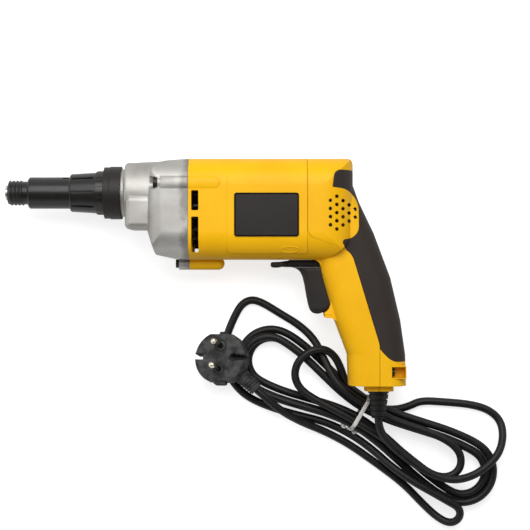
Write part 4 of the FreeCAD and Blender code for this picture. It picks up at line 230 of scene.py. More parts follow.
def put(name, mesh, finish, body):
    """Adds a piece that rides on a body, with its curved faces shaded smooth."""
    mesh.materials.append(finish)
    mesh.shade_smooth()
    mesh.set_sharp_from_angle(angle=PIECE_CREASE)
    piece = bpy.data.objects.new(name, mesh)
    bpy.context.scene.collection.objects.link(piece)
    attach(piece, body)
    return piece


def put_skin(name, rings, finish, body, loop=False):
    """Adds a piece whose mesh is a skin through rings."""
    return put(name, skin(name, rings, loop), finish, body)


rim_rings = []
for spot, out in rounded_loop(PLATE_OUTLINE, RIM_ROUND):
    inner = spot - out * RIM_WIDTH
    corners = ((spot, -RIM_HEIGHT), (spot, RIM_HEIGHT), (inner, RIM_HEIGHT), (inner, -RIM_HEIGHT))
    rim_rings.append([(edge.x, edge.y, PLATE_TOP + rise) for edge, rise in corners])
put_skin("plate_rim", rim_rings, black_ink, "housing", loop=True)

# Rear grip: a skin of soft rubber, moulded on the back of the handle after the yellow nylon has set.
# Thermoplastic rubber: warm near-black, dull, with a leathery grain of 0.5 mm, drawn at 1.2 mm to show.
grip_rubber, tree, shader, place = finish_named("overmoulded_grip_rubber", 0.6, 1.5, specular=0.2)
grain = add_node(tree, "ShaderNodeTexVoronoi", {"Vector": place, "Scale": 1 / (1.2 * MM)})
cloud = add_node(tree, "ShaderNodeTexNoise", {"Vector": place, "Scale": 1 / (18 * MM), "Detail": 3.0})
tone = add_node(tree, "ShaderNodeValToRGB", {"Fac": cloud.outputs["Fac"]}, ((0, "#2B2521"), (1, "#352E2A")))
soft_edge = add_node(tree, "ShaderNodeBevel", {"Radius": 0.8 * MM}, samples=4)
relief = add_node(tree, "ShaderNodeBump", {"Height": grain.outputs["Distance"], "Strength": 0.25,
                                           "Distance": 0.08 * MM, "Normal": soft_edge.outputs["Normal"]})
wire(shader, {"Base Color": tone.outputs["Color"], "Normal": relief.outputs["Normal"]})
dress(grip_rubber, "rear_grip")

# Gear case: one pressure die casting of aluminium with its bosses, screwed to the front of the barrel.
# The mid plate behind it is cast and faced.
# Bead-blasted die-cast aluminium: a pale satin grey with cloudy flow marks, and painted shade in cloudy
# patches that darken it towards the joint.
# The blasted grit is 0.2 mm, drawn at 0.8 mm to show.
GRIT = 0.8 * MM
PAINTED_SHADE_SPAN = (-29 * MM, -14 * MM)
MIX_SHARE = 0
MIX_FROM = 6
MIX_TO = 7
MIXED_COLOUR = 2
cast_aluminium, tree, shader, place = finish_named("blasted_die_cast_aluminium", 0.5, metallic=0.85)
flow = add_node(tree, "ShaderNodeTexNoise", {"Vector": place, "Scale": 1 / (30 * MM), "Detail": 3.0,
                                             "Distortion": 0.3})
tone = add_node(tree, "ShaderNodeValToRGB", {"Fac": flow.outputs["Fac"]},
                ((0.36, "#A5A29D"), (0.62, "#B9B7B3")))
# Painted shade: cloudy darker patches that grow towards the joint with the barrel, mixed into the grey.
along = add_node(tree, "ShaderNodeSeparateXYZ", {"Vector": place})
by_joint = add_node(tree, "ShaderNodeMapRange", {"Value": along.outputs["X"], "From Min": PAINTED_SHADE_SPAN[0],
                                                 "From Max": PAINTED_SHADE_SPAN[1]})
patch = add_node(tree, "ShaderNodeTexNoise", {"Vector": place, "Scale": 1 / (15 * MM), "Detail": 3.0})
painted_shade = add_node(tree, "ShaderNodeMath", {0: by_joint.outputs["Result"], 1: patch.outputs["Fac"]},
                 operation="MULTIPLY")
cloud = add_node(tree, "ShaderNodeMapRange", {"Value": painted_shade.outputs["Value"], "From Min": 0.32,
                                              "From Max": 0.46, "To Max": 0.75})
shaded_tone = add_node(tree, "ShaderNodeMix", {MIX_SHARE: cloud.outputs["Result"], MIX_FROM: tone.outputs["Color"],
                                          MIX_TO: linear("#7E7B76")}, data_type="RGBA")
grit = add_node(tree, "ShaderNodeTexNoise", {"Vector": place, "Scale": 1 / GRIT, "Detail": 3.0})
gloss = add_node(tree, "ShaderNodeMapRange", {"Value": grit.outputs["Fac"], "To Min": 0.42, "To Max": 0.62})
soft_edge = add_node(tree, "ShaderNodeBevel", {"Radius": 1.6 * MM}, samples=6)
relief = add_node(tree, "ShaderNodeBump", {"Height": grit.outputs["Fac"], "Strength": 0.2,
                                           "Distance": 0.06 * MM, "Normal": soft_edge.outputs["Normal"]})
wire(shader, {"Base Color": shaded_tone.outputs[MIXED_COLOUR], "Roughness": gloss.outputs["Result"],
              "Normal": relief.outputs["Normal"]})
dress(cast_aluminium, "gear_case", "mid_plate")

# Screw channels: the half-round ribs over the side screws, cast on the gear case and moulded on in the
# barrel, on both sides. Each station along a channel has the share of the full width that it keeps there.
TOOL_THICKNESS = 68.0
CHANNEL_MIDDLE = 71.8
CHANNEL_HALF = 5.9
CHANNEL_ROOT = 65.4
CHANNEL_HEIGHT = 2.55
CHANNEL_FALL = 0.25
CHANNEL_STEPS = 20
CAST_STATIONS = ((-34.6, 0.85), (-34.2, 1.0), (-12.7, 1.0))
MOULDED_STATIONS = ((-12.5, 1.0), (7.5, 1.0), (9.5, 0.92), (11.0, 0.72), (11.9, 0.45), (12.3, 0.12))
CHANNELS = (
    ("cast", CAST_STATIONS, cast_aluminium, "cast_aluminium"),
    ("moulded", MOULDED_STATIONS, yellow_nylon, "yellow_housing"),
)
for word, stations, finish, slot in CHANNELS:
    for side in ("left", "right"):
        channel_rings = []
        for x, share in stations:
            ring = []
            for step in range(CHANNEL_STEPS + 1):
                turn = math.pi * step / CHANNEL_STEPS
                y = CHANNEL_MIDDLE + CHANNEL_HALF * share * math.cos(turn)
                rise = CHANNEL_HEIGHT * (1 - CHANNEL_FALL + CHANNEL_FALL * share) * math.sin(turn)
                level = CHANNEL_ROOT + rise if side == "left" else TOOL_THICKNESS - CHANNEL_ROOT - rise
                ring.append((x, y, level))
            channel_rings.append(ring)
        put_skin(f"screw_channel_{word}_{side}", channel_rings, finish, "housing")

# Screws: cap screws at the gear case and in the handle's notches, cold-headed steel.
# Blackened steel: near-black with a thin oiled gloss and paler rubbed patches.
black_steel, tree, shader, place = finish_named("blackened_screw_steel", 0.4, metallic=0.6)
rubbed = add_node(tree, "ShaderNodeTexNoise", {"Vector": place, "Scale": 1 / (1.5 * MM)})
tone = add_node(tree, "ShaderNodeValToRGB", {"Fac": rubbed.outputs["Fac"]}, ((0, "#151413"), (1, "#35322F")))
wire(shader, {"Base Color": tone.outputs["Color"]})
dress(black_steel, "gear_case_screws", "lower_case_screw", "cover_screws")

# Nose collar: a moulded ring that screws on the gear case and carries the adjusting sleeve.
# Black nylon: warm black with an eroded grain of 0.4 mm, drawn at 0.9 mm, duller than what is turned.
black_nylon, tree, shader, place = finish_named("moulded_black_nylon", 0.46, 1.53, specular=0.25)
grain = add_node(tree, "ShaderNodeTexNoise", {"Vector": place, "Scale": 1 / GRAIN, "Detail": 2.0})
cloud = add_node(tree, "ShaderNodeTexNoise", {"Vector": place, "Scale": 1 / (14 * MM)})
tone = add_node(tree, "ShaderNodeValToRGB", {"Fac": cloud.outputs["Fac"]}, ((0, "#1C1816"), (1, "#25211E")))
soft_edge = add_node(tree, "ShaderNodeBevel", {"Radius": 1.2 * MM}, samples=4)
relief = add_node(tree, "ShaderNodeBump", {"Height": grain.outputs["Fac"], "Strength": 0.12,
                                           "Distance": 0.05 * MM, "Normal": soft_edge.outputs["Normal"]})
wire(shader, {"Base Color": tone.outputs["Color"], "Normal": relief.outputs["Normal"]})
dress(black_nylon, "nose_collar")

# Nose: adjusting sleeve and nose tube, turned pieces that screw into each other.
# Black acetal: deep black with a satin gloss and faint turning lines, 0.5 mm apart and drawn at 5 mm to show.
# Blender's wave pattern has 20 radians to a unit, so this is the length of its band at a scale of 1.
WAVE_BAND = 2 * math.pi / 20
black_acetal, tree, shader, place = finish_named("turned_black_acetal", 0.3, 1.48, specular=0.45)
lines = add_node(tree, "ShaderNodeTexWave", {"Vector": place, "Scale": WAVE_BAND / (5.03 * MM),
                                             "Distortion": 1.0, "Detail": 2.0}, bands_direction="X")
cloud = add_node(tree, "ShaderNodeTexNoise", {"Vector": place, "Scale": 1 / (9 * MM), "Detail": 3.0})
tone = add_node(tree, "ShaderNodeValToRGB", {"Fac": cloud.outputs["Fac"]}, ((0, "#121110"), (1, "#1C1A19")))
gloss = add_node(tree, "ShaderNodeMapRange", {"Value": cloud.outputs["Fac"], "To Min": 0.24, "To Max": 0.36})
soft_edge = add_node(tree, "ShaderNodeBevel", {"Radius": 0.5 * MM}, samples=4)
relief = add_node(tree, "ShaderNodeBump", {"Height": lines.outputs["Fac"], "Strength": 0.05,
                                           "Distance": 0.03 * MM, "Normal": soft_edge.outputs["Normal"]})
wire(shader, {"Base Color": tone.outputs["Color"], "Roughness": gloss.outputs["Result"],
              "Normal": relief.outputs["Normal"]})
dress(black_acetal, "adjusting_sleeve", "nose_tube")

# Nose tip: the front end of the nose with a coarse round thread for a depth stop, a neck behind it and a
# spigot in the nose tube. Turned from the same black acetal.
NOSE_AXIS = (65.65, 34.0)
THREAD_START = -157.6
THREAD_END = -145.6
NECK_END = -141.4
SPIGOT_END = -131.4
THREAD_RADIUS = 10.05
THREAD_DEPTH = 0.9
THREAD_PITCH = 2.95
THREAD_CHAMFER = 1.0
THREAD_ROUNDING = 1.5
THREAD_ROWS = 56
NECK_RADIUS = 9.2
SPIGOT_RADIUS = 8.9
TIP_BORE = 6.8
NOSE_STEPS = 96
ALONG = Vector((1, 0, 0))
ACROSS = Vector((0, 1, 0))
UP = Vector((0, 0, 1))


def hoop(middle, side, up, radius, count):
    """A ring of points round a middle. radius is a number or a function of the turn."""
    ring = []
    for step in range(count):
        turn = 2 * math.pi * step / count
        reach = radius(turn) if callable(radius) else radius
        ring.append(middle + side * (reach * math.cos(turn)) + up * (reach * math.sin(turn)))
    return ring


def nose_ring(x, radius):
    """A ring round the nose's axis."""
    return hoop(Vector((x, *NOSE_AXIS)), ACROSS, UP, radius, NOSE_STEPS)


def thread_radius(x):
    """The round thread's radius at a place along the nose, as a function of the turn."""
    edge = min(x - THREAD_START, THREAD_CHAMFER)
    crest = THREAD_RADIUS - THREAD_CHAMFER + edge

    def at(turn):
        wave = 0.5 - 0.5 * math.cos(2 * math.pi * (x / THREAD_PITCH) - turn)
        return crest - THREAD_DEPTH * wave ** THREAD_ROUNDING

    return at


tip_rings = [nose_ring(THREAD_START, TIP_BORE)]
for row in range(THREAD_ROWS + 1):
    x = THREAD_START + (THREAD_END - THREAD_START) * row / THREAD_ROWS
    tip_rings.append(nose_ring(x, thread_radius(x)))
BACK_PROFILE = ((THREAD_END, NECK_RADIUS), (NECK_END, NECK_RADIUS), (NECK_END, SPIGOT_RADIUS),
                (SPIGOT_END, SPIGOT_RADIUS), (SPIGOT_END, TIP_BORE))
tip_rings += [nose_ring(x, radius) for x, radius in BACK_PROFILE]
threaded_tip = put_skin("threaded_tip", tip_rings, black_acetal, "nose", loop=True)
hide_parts("nose_tip")

# Sleeve marks: raised bars round the sleeve's ring, by which its turn is counted. They are of the sleeve's
# own black acetal, cut in one with it.
MARKS = 24
MARK_START = -86.0
MARK_END = -81.6
RING_RADIUS = 17.2
MARK_HEIGHT = 0.3
MARK_WIDTH = 0.8
MARK_TAPER = 0.7


def sleeve_bar(turn):
    """Two rings of a small bar that stands out from the sleeve's ring at a turn round the nose's axis."""
    out = ACROSS * math.cos(turn) + UP * math.sin(turn)
    aside = UP * math.cos(turn) - ACROSS * math.sin(turn)
    corners = ((MARK_START, -1), (MARK_END, -1), (MARK_END, 1), (MARK_START, 1))
    rings = []
    for radius, share in ((RING_RADIUS - MARK_HEIGHT, 1.0), (RING_RADIUS + MARK_HEIGHT, MARK_TAPER)):
        reach = aside * (MARK_WIDTH / 2 * share)
        rings.append([Vector((x, *NOSE_AXIS)) + out * radius + reach * side for x, side in corners])
    return rings


mark_points = []
mark_faces = []
for number in range(MARKS):
    bar = skin("mark", sleeve_bar(2 * math.pi * number / MARKS))
    first = len(mark_points)
    mark_points += [tuple(vertex.co) for vertex in bar.vertices]
    mark_faces += [tuple(first + corner for corner in face.vertices) for face in bar.polygons]
    bpy.data.meshes.remove(bar)
mark_mesh = bpy.data.meshes.new("sleeve_marks")
mark_mesh.from_pydata(mark_points, [], mark_faces)
put("sleeve_marks", mark_mesh, black_acetal, "sleeve")

# Bit holder, spindle, clutch, gears and shafts: turned, cut and ground steel.
# Bright turned steel: a clear grey whose gloss is broken up by tool marks of 0.2 mm, drawn at 1 mm to show.
bright_steel, tree, shader, place = finish_named("turned_bright_steel", 0.26, metallic=1.0)
marks = add_node(tree, "ShaderNodeTexNoise", {"Vector": place, "Scale": 1 / (1.0 * MM), "Detail": 2.0})
tone = add_node(tree, "ShaderNodeValToRGB", {"Fac": marks.outputs["Fac"]}, ((0, "#AFADA9"), (1, "#D5D3CF")))
gloss = add_node(tree, "ShaderNodeMapRange", {"Value": marks.outputs["Fac"], "To Min": 0.18, "To Max": 0.36})
soft_edge = add_node(tree, "ShaderNodeBevel", {"Radius": 0.4 * MM}, samples=4)
wire(shader, {"Base Color": tone.outputs["Color"], "Roughness": gloss.outputs["Result"],
              "Normal": soft_edge.outputs["Normal"]})
dress(bright_steel, "bit_holder", "output_spindle", "retaining_ring", "thrust_washer", "drive_gear",
      "gear_pin", "front_bearing", "rear_bearing", "armature_shaft", "cord_clamp_screws")

# Springs: one between thrust washer and drive gear that holds the clutch open, and one behind each brush.
# Each is wound from round steel wire. The clutch spring shortens in the tool as the bit is pushed in; here it
# has one length.
COIL_STEPS = 28
WIRE_ROUND = 10
CLUTCH_SPRING_START = -55.8
CLUTCH_SPRING_LENGTH = 10.4
CLUTCH_WINDING = {"radius": 6.7, "gauge": 1.1, "turns": 4.5}
BRUSH_AXIS = (73.3, 49.65)
BRUSH_SPRING_LENGTH = 5.35
BRUSH_SPRINGS = (("left", 53.55, UP), ("right", 14.45, -UP))
BRUSH_WINDING = {"radius": 2.6, "gauge": 0.5, "turns": 5.0}


def coil(name, foot, along, length, radius, gauge, turns):
    """A spring round a line that starts at its foot, with its wire's middle on a helix."""
    aside = along.orthogonal().normalized()
    beyond = along.cross(aside)
    steps = round(turns * COIL_STEPS)
    rings = []
    for step in range(steps + 1):
        turn = 2 * math.pi * step / COIL_STEPS
        out = aside * math.cos(turn) + beyond * math.sin(turn)
        middle = foot + along * (gauge / 2 + (length - gauge) * step / steps) + out * (radius - gauge / 2)
        rings.append(hoop(middle, out, along, gauge / 2, WIRE_ROUND))
    return put_skin(name, rings, bright_steel, "housing")


clutch_foot = Vector((CLUTCH_SPRING_START, *NOSE_AXIS))
clutch_coil = coil("clutch_coil", clutch_foot, ALONG, CLUTCH_SPRING_LENGTH, **CLUTCH_WINDING)
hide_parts("clutch_spring")
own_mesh(clutch_coil)
for word, level, out in BRUSH_SPRINGS:
    foot = Vector((*BRUSH_AXIS, level))
    brush_coil = coil(f"brush_coil_{word}", foot, out, BRUSH_SPRING_LENGTH, **BRUSH_WINDING)
    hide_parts("brush_springs")

# Bushes and brush holders: sintered and stamped bronze alloys inside the cases.
# Sintered bronze: a brown gold, dull with pores of 0.1 mm, drawn at 0.6 mm to show.
sintered_bronze, tree, shader, place = finish_named("sintered_bronze", 0.45, metallic=1.0)
pores = add_node(tree, "ShaderNodeTexVoronoi", {"Vector": place, "Scale": 1 / (0.6 * MM)})
tone = add_node(tree, "ShaderNodeValToRGB", {"Fac": pores.outputs["Distance"]},
                ((0, "#8A6A3F"), (1, "#BF9A62")))
wire(shader, {"Base Color": tone.outputs["Color"]})
dress(sintered_bronze, "spindle_bush", "pinion_bush", "brush_holders")

# Armature and stator: stacks of lacquered sheet steel, with enamelled wire and a copper commutator.
# Lacquered sheet stack: dark grey steel with the lines of its 0.5 mm sheets, drawn at 3.1 mm to show.
sheet_stack, tree, shader, place = finish_named("lacquered_sheet_stack", 0.4, metallic=0.8)
sheets = add_node(tree, "ShaderNodeTexWave", {"Vector": place, "Scale": WAVE_BAND / (3.14 * MM)},
                  bands_direction="X")
tone = add_node(tree, "ShaderNodeValToRGB", {"Fac": sheets.outputs["Fac"]}, ((0, "#5A5755"), (1, "#8B8885")))
wire(shader, {"Base Color": tone.outputs["Color"]})
dress(sheet_stack, "armature_core", "stator")

# Enamelled copper wire and bars: a red brown with lines of the wire's 0.6 mm pitch, drawn at 3.8 mm to show.
copper_wire, tree, shader, place = finish_named("enamelled_copper", 0.35, metallic=0.9)
wires = add_node(tree, "ShaderNodeTexWave", {"Vector": place, "Scale": WAVE_BAND / (3.77 * MM),
                                             "Distortion": 2.0}, bands_direction="DIAGONAL")
tone = add_node(tree, "ShaderNodeValToRGB", {"Fac": wires.outputs["Fac"]}, ((0, "#6E3A1E"), (1, "#C07A4A")))
wire(shader, {"Base Color": tone.outputs["Color"]})
dress(copper_wire, "armature_windings", "commutator")

# Carbon brushes: pressed blocks that run on the commutator.
# Pressed carbon: grey black, matt with grains of 0.1 mm, drawn at 0.5 mm to show.
pressed_carbon, tree, shader, place = finish_named("pressed_carbon", 0.55, 1.6)
specks = add_node(tree, "ShaderNodeTexNoise", {"Vector": place, "Scale": 1 / (0.5 * MM)})
tone = add_node(tree, "ShaderNodeValToRGB", {"Fac": specks.outputs["Fac"]}, ((0, "#1D1C1C"), (1, "#3A3938")))
wire(shader, {"Base Color": tone.outputs["Color"]})
dress(pressed_carbon, "brushes")

# Mouldings inside: the fan on the armature's shaft, the ring that holds the brushes, the switch in the handle
# and the cord clamp in its foot. All are of black nylon.
dress(black_nylon, "switch", "brush_ring", "fan", "cord_clamp")

# Trigger recess: the rounded corners where the housing's two walls close round the trigger, above it and at
# the finger shoulder below it. Moulded in one with the yellow nylon, outside the trigger's travel.
RECESS_LEVELS = {"left": (43.0, 46.0), "right": (25.0, 22.0)}
RECESS_EDGE = ((0.0, 0.0), (0.75, 0.0), (0.93, 0.25), (1.0, 0.8))
RECESS_CORNERS = {
    "upper": ((92.7, 2.5), (94.5, 2.5), (93.8, 13.2), (86.0, 13.2), (86.0, 12.2), (87.6, 11.7), (90.0, 10.2),
              (91.5, 8.0), (92.3, 5.5)),
    "lower": ((99.2, -21.5), (99.1, -23.5), (98.5, -25.6), (97.4, -27.4), (96.0, -28.8), (94.4, -29.9),
              (94.2, -30.6), (94.8, -31.8), (103.0, -32.5), (103.0, -30.5), (100.8, -21.5)),
}


def moved_in(outline, inset):
    """A closed outline of points, moved inwards."""
    spots = [Vector(spot) for spot in outline]
    moved = []
    for number, spot in enumerate(spots):
        ahead = (spots[(number + 1) % len(spots)] - spots[number - 1]).normalized()
        moved.append(spot + Vector((-ahead.y, ahead.x)) * inset)
    return moved


for end, outline in RECESS_CORNERS.items():
    for side, (inner, outer) in RECESS_LEVELS.items():
        recess_rings = []
        for share, inset in RECESS_EDGE:
            level = inner + (outer - inner) * share
            recess_rings.append([(edge.x, edge.y, level) for edge in moved_in(outline, inset)])
        put_skin(f"trigger_recess_{end}_{side}", recess_rings, yellow_nylon, "housing")

# Reversing lever: a flat arm over the trigger with a thick finger pad in front and an eye on the switch's
# pin, moulded in one from black nylon and held between trigger and barrel.
# Each station of the arm has its place along it, its lower and upper side and half its width.
LEVER_MIDDLE = 34.0
LEVER_PIVOT = 115.4
LEVER_LEVELS = (6.3, 11.7)
EYE_RADII = (2.15, 4.0)
EYE_PROFILE = (
    (EYE_RADII[0], LEVER_LEVELS[0]),
    (EYE_RADII[1], LEVER_LEVELS[0]),
    (EYE_RADII[1], LEVER_LEVELS[1]),
    (EYE_RADII[0], LEVER_LEVELS[1]),
)
LEVER_ROUND = 28
LEVER_SQUARENESS = 0.36
LEVER_STATIONS = (
    (51.9, 7.3, 9.3, 5.0),
    (52.3, 6.6, 9.9, 6.2),
    (53.2, 6.05, 10.35, 6.8),
    (55.0, 5.85, 10.5, 7.0),
    (57.5, 5.85, 10.55, 7.0),
    (59.0, 6.1, 10.6, 7.0),
    (60.5, 6.5, 10.8, 7.0),
    (62.0, 6.45, 11.0, 7.0),
    (63.0, 6.35, 11.2, 6.6),
    (65.5, LEVER_LEVELS[0], 11.5, 3.8),
    (67.0, LEVER_LEVELS[0], 12.15, 3.6),
    (88.0, LEVER_LEVELS[0], 12.15, 3.6),
    (90.0, LEVER_LEVELS[0], LEVER_LEVELS[1], 3.6),
    (112.4, LEVER_LEVELS[0], LEVER_LEVELS[1], 3.6),
)


def squared(share):
    """A cosine or sine pushed outwards, so that a ring of them is a rectangle with round corners."""
    return math.copysign(abs(share) ** LEVER_SQUARENESS, share)


def squared_ring(low, high, half_width):
    """A rectangle with round corners: places between low and high, with levels round the tool's middle."""
    turns = [2 * math.pi * step / LEVER_ROUND for step in range(LEVER_ROUND)]
    return [((low + high) / 2 + (high - low) / 2 * squared(math.cos(turn)),
             LEVER_MIDDLE + half_width * squared(math.sin(turn))) for turn in turns]


arm_rings = [[(x, y, level) for y, level in squared_ring(low, high, half_width)]
             for x, low, high, half_width in LEVER_STATIONS]
lever_arm = put_skin("lever_arm", arm_rings, black_nylon, "lever")
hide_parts("reversing_lever")
eye_rings = [hoop(Vector((LEVER_PIVOT, y, LEVER_MIDDLE)), ALONG, UP, radius, LEVER_ROUND)
             for radius, y in EYE_PROFILE]
lever_eye = put_skin("lever_eye", eye_rings, black_nylon, "lever", loop=True)
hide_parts("reversing_lever")

# Trigger: a finger piece with a swept front and a round foot, and the stem that slides in the switch.
# Moulded in one from black nylon. Each station is a height with its front, its back and half its width.
TRIGGER_STATIONS = (
    (6.2, 68.5, 98.2, 7.6),
    (5.6, 71.2, 98.3, 8.3),
    (4.6, 73.2, 98.5, 8.5),
    (2.4, 75.6, 99.0, 8.5),
    (-1.6, 77.4, 99.8, 8.5),
    (-8.0, 78.9, 101.2, 8.5),
    (-16.0, 80.2, 103.0, 8.5),
    (-22.0, 81.4, 104.3, 8.5),
    (-25.0, 82.2, 103.4, 8.5),
    (-27.0, 82.9, 99.3, 8.5),
    (-28.6, 83.8, 95.9, 8.3),
    (-29.8, 85.0, 93.3, 7.4),
    (-30.5, 86.6, 91.6, 5.6),
    (-30.85, 88.2, 90.0, 3.0),
)
STEM_LEVEL = -11.35
STEM_PROFILE = ((98.0, 3.0), (118.9, 3.0), (119.7, 2.2))
finger_rings = [[(x, y, level) for x, level in squared_ring(front, back, half_width)]
                for y, front, back, half_width in TRIGGER_STATIONS]
finger_piece = put_skin("trigger_finger_piece", finger_rings, black_nylon, "trigger")
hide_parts("trigger")
stem_rings = [hoop(Vector((x, STEM_LEVEL, LEVER_MIDDLE)), ACROSS, UP, radius, LEVER_ROUND)
              for x, radius in STEM_PROFILE]
trigger_stem = put_skin("trigger_stem", stem_rings, black_nylon, "trigger")
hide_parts("trigger")

# Strain relief: a tapered rubber boot, held in the handle's foot by both mouldings, and the lead's inner end.
# Cord rubber: black, smooth and dull, with a bloom that greys it in patches.
cord_rubber, tree, shader, place = finish_named("extruded_cord_rubber", 0.48, 1.52, specular=0.3)
bloom = add_node(tree, "ShaderNodeTexNoise", {"Vector": place, "Scale": 1 / (7 * MM), "Detail": 4.0})
tone = add_node(tree, "ShaderNodeValToRGB", {"Fac": bloom.outputs["Fac"]},
                ((0.4, "#0E0D0D"), (0.75, "#181616")))
gloss = add_node(tree, "ShaderNodeMapRange", {"Value": bloom.outputs["Fac"], "To Min": 0.4, "To Max": 0.58})
wire(shader, {"Base Color": tone.outputs["Color"], "Roughness": gloss.outputs["Result"]})
dress(cord_rubber, "strain_relief", "inner_lead")

# Mains cord: one length of rubber-sheathed cable, from the boot over the hank to the floor, round the hank's
# three loops, twice more over it and round it, and up to the plug. Laid in the hank's own frame, in mm.
# Each half loop has its end of the hank, the columns by which it comes in and leaves, and its layer.
CORD_DIAMETER = 6.4
BOOT_MOUTH = Vector((138.2, -114.25, 34.0))
BOOT_HEADING = Vector((0, -1, 0))
CORD_EXIT = 8.0
CORD_MEET = 9.1
CORD_ENTER = 11.0
HANK_MIDDLE = (125.1, -112.2, 0)
HANK_TURN = math.radians(-30)
hank_place = Matrix.Translation(HANK_MIDDLE) @ Matrix.Rotation(HANK_TURN, 4, "Z")
LEAD_ROUTE = (
    (28.2, -8.2, 28.5), (43.7, -11.8, 25.0), (62.7, -14.0, 24.5), (78.2, -13.4, 24.3), (92.3, -8.6, 24.0),
    (103.0, 0.9, 21.5), (110.2, 13.5, 19.0), (113.9, 28.3, 16.0), (111.3, 41.7, 8.5), (103.6, 51.8, 3.4),
    (90.2, 54.4, 3.2), (74.7, 50.2, 3.2), (56.8, 41.8, 3.2), (39.1, 33.0, 3.2), (33.0, 24.0, 3.2),
    (25.5, 16.6, 3.2),
)
TAIL_ROUTE = (
    (-24.0, 16.2, 10.9), (-32.0, 23.5, 10.9), (-41.0, 29.5, 12.8), (-51.0, 30.7, 15.9), (-59.0, 25.5, 17.4),
    (-63.5, 17.5, 17.6), (-65.0, 8.0, 17.4), (-61.5, -1.5, 17.3), (-52.0, -8.0, 17.3), (-36.0, -9.0, 17.5),
    (-12.0, -7.7, 18.3), (12.0, -7.5, 18.3), (36.0, -9.0, 17.5), (58.0, -12.5, 17.3), (74.0, -14.5, 17.3),
    (87.0, -10.5, 17.3), (93.0, 0.5, 17.3), (87.5, 12.0, 17.3), (74.0, 16.5, 17.3), (52.0, 14.0, 17.3),
    (28.0, 8.6, 17.8), (6.0, 7.4, 18.4), (-14.0, 8.2, 18.2), (-31.0, 12.0, 16.0), (-47.0, 22.6, 11.4),
    (-62.0, 33.0, 5.6), (-79.0, 36.8, 3.2), (-96.0, 37.0, 3.2), (-113.0, 37.6, 3.2), (-123.0, 35.5, 3.2),
    (-128.0, 28.0, 3.2), (-128.0, 17.0, 3.2), (-126.5, 4.0, 3.2), (-123.0, -10.0, 3.2), (-115.0, -22.5, 3.2),
    (-103.0, -31.0, 3.2), (-87.0, -35.8, 3.2), (-67.0, -34.0, 3.2), (-45.0, -28.7, 3.2), (-20.0, -21.2, 3.2),
    (4.0, -19.6, 3.2), (24.0, -21.5, 5.0), (44.0, -25.4, 13.4), (64.0, -26.9, 17.2), (82.0, -26.6, 17.3),
    (97.0, -26.5, 17.3), (107.3, -26.5, 16.6), (112.0, -31.2, 14.8), (112.0, -37.8, 12.0),
    (107.3, -42.5, 9.0), (97.0, -43.0, 5.0), (82.0, -39.5, 3.2), (60.0, -33.0, 3.2), (32.0, -29.8, 3.2),
    (5.0, -27.4, 3.2), (-18.0, -28.4, 4.5), (-38.0, -31.0, 9.5), (-57.4, -30.6, 18.4),
)
FIRST_LAYER = 3.2
SECOND_LAYER = 10.1
TIE_LIFT = 0.9
LEFT = -1
RIGHT = 1
INNER = 0
OUTER = 1
TURN_CENTRES = {LEFT: 84.0, RIGHT: 96.0}
TURN_RADII = (19.2, 26.4)
WAIST_OFFSETS = (3.75, 11.25)
HALF_LOOPS = (
    (LEFT, OUTER, OUTER, FIRST_LAYER),
    (RIGHT, OUTER, INNER, FIRST_LAYER),
    (LEFT, INNER, INNER, FIRST_LAYER),
    (RIGHT, INNER, INNER, SECOND_LAYER),
    (LEFT, INNER, OUTER, SECOND_LAYER),
    (RIGHT, OUTER, OUTER, SECOND_LAYER),
)
RUN_STEPS = 4
TURN_STEPS = 6


def eased_run(start, goal):
    """Spots from a start to a goal, even along the hank and eased across and up."""
    spots = []
    for step in range(1, RUN_STEPS + 1):
        share = step / RUN_STEPS
        eased = share * share * (3 - 2 * share)
        spots.append(Vector((start.x + (goal.x - start.x) * share, start.y + (goal.y - start.y) * eased,
                             start.z + (goal.z - start.z) * eased)))
    return spots


to_hank = hank_place.inverted()
hank_start = Vector((CORD_DIAMETER, WAIST_OFFSETS[OUTER], FIRST_LAYER + TIE_LIFT))
hank_end = Vector((-CORD_DIAMETER, WAIST_OFFSETS[OUTER], SECOND_LAYER + TIE_LIFT))
boot_mouth = to_hank @ BOOT_MOUTH
route = [boot_mouth, boot_mouth + to_hank.to_3x3() @ BOOT_HEADING * CORD_EXIT]
route += [Vector(point) for point in LEAD_ROUTE]
route += [hank_start + Vector((CORD_MEET, 0, 0)), hank_start, Vector((0, hank_start.y, hank_start.z))]
for number, (end, column_in, column_out, layer) in enumerate(HALF_LOOPS):
    centre = end * TURN_CENTRES[end]
    radius_in = TURN_RADII[column_in]
    radius_out = TURN_RADII[column_out]
    route += eased_run(route[-1], Vector((centre, -end * radius_in, layer)))[:-1]
    for step in range(TURN_STEPS + 1):
        turn = math.pi * step / TURN_STEPS
        radius = radius_in + (radius_out - radius_in) * step / TURN_STEPS
        route.append(Vector((centre + end * radius * math.sin(turn), -end * radius * math.cos(turn), layer)))
    next_layer = HALF_LOOPS[number + 1][3] if number + 1 < len(HALF_LOOPS) else layer
    waist = Vector((0, end * WAIST_OFFSETS[column_out], (layer + next_layer) / 2 + TIE_LIFT))
    route += eased_run(route[-1], waist)
route += [hank_end, hank_end - Vector((CORD_MEET, 0, 0))]
route += [Vector(point) for point in TAIL_ROUTE]
PLUG_FACE = (-122.1, -17.2, 26.0)
PLUG_TILTS = (math.radians(-14.5), math.radians(-18), math.radians(30))
NECK_START = Vector((0, 0, -8.0))
NECK_HEADING = Vector((0.724, -0.600, -0.342)).normalized()
NECK_LENGTH = 37.0
plug_place = Matrix.Translation(PLUG_FACE) @ Euler(PLUG_TILTS, "XYZ").to_matrix().to_4x4()
plug_mouth = plug_place @ (NECK_START + NECK_HEADING * NECK_LENGTH)
plug_heading = plug_place.to_3x3() @ NECK_HEADING
route += [plug_mouth + plug_heading * CORD_ENTER, plug_mouth]
cord_spots = [hank_place @ spot * MM for spot in route]
mains_cord = tube("mains_cord", cord_spots, CORD_DIAMETER / 2 * MM, cord_rubber, "cord_rubber",
                  bevel_resolution=5, resolution_u=8, use_fill_caps=True)
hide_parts("cord_lead", "cord_hank", "cord_tail")

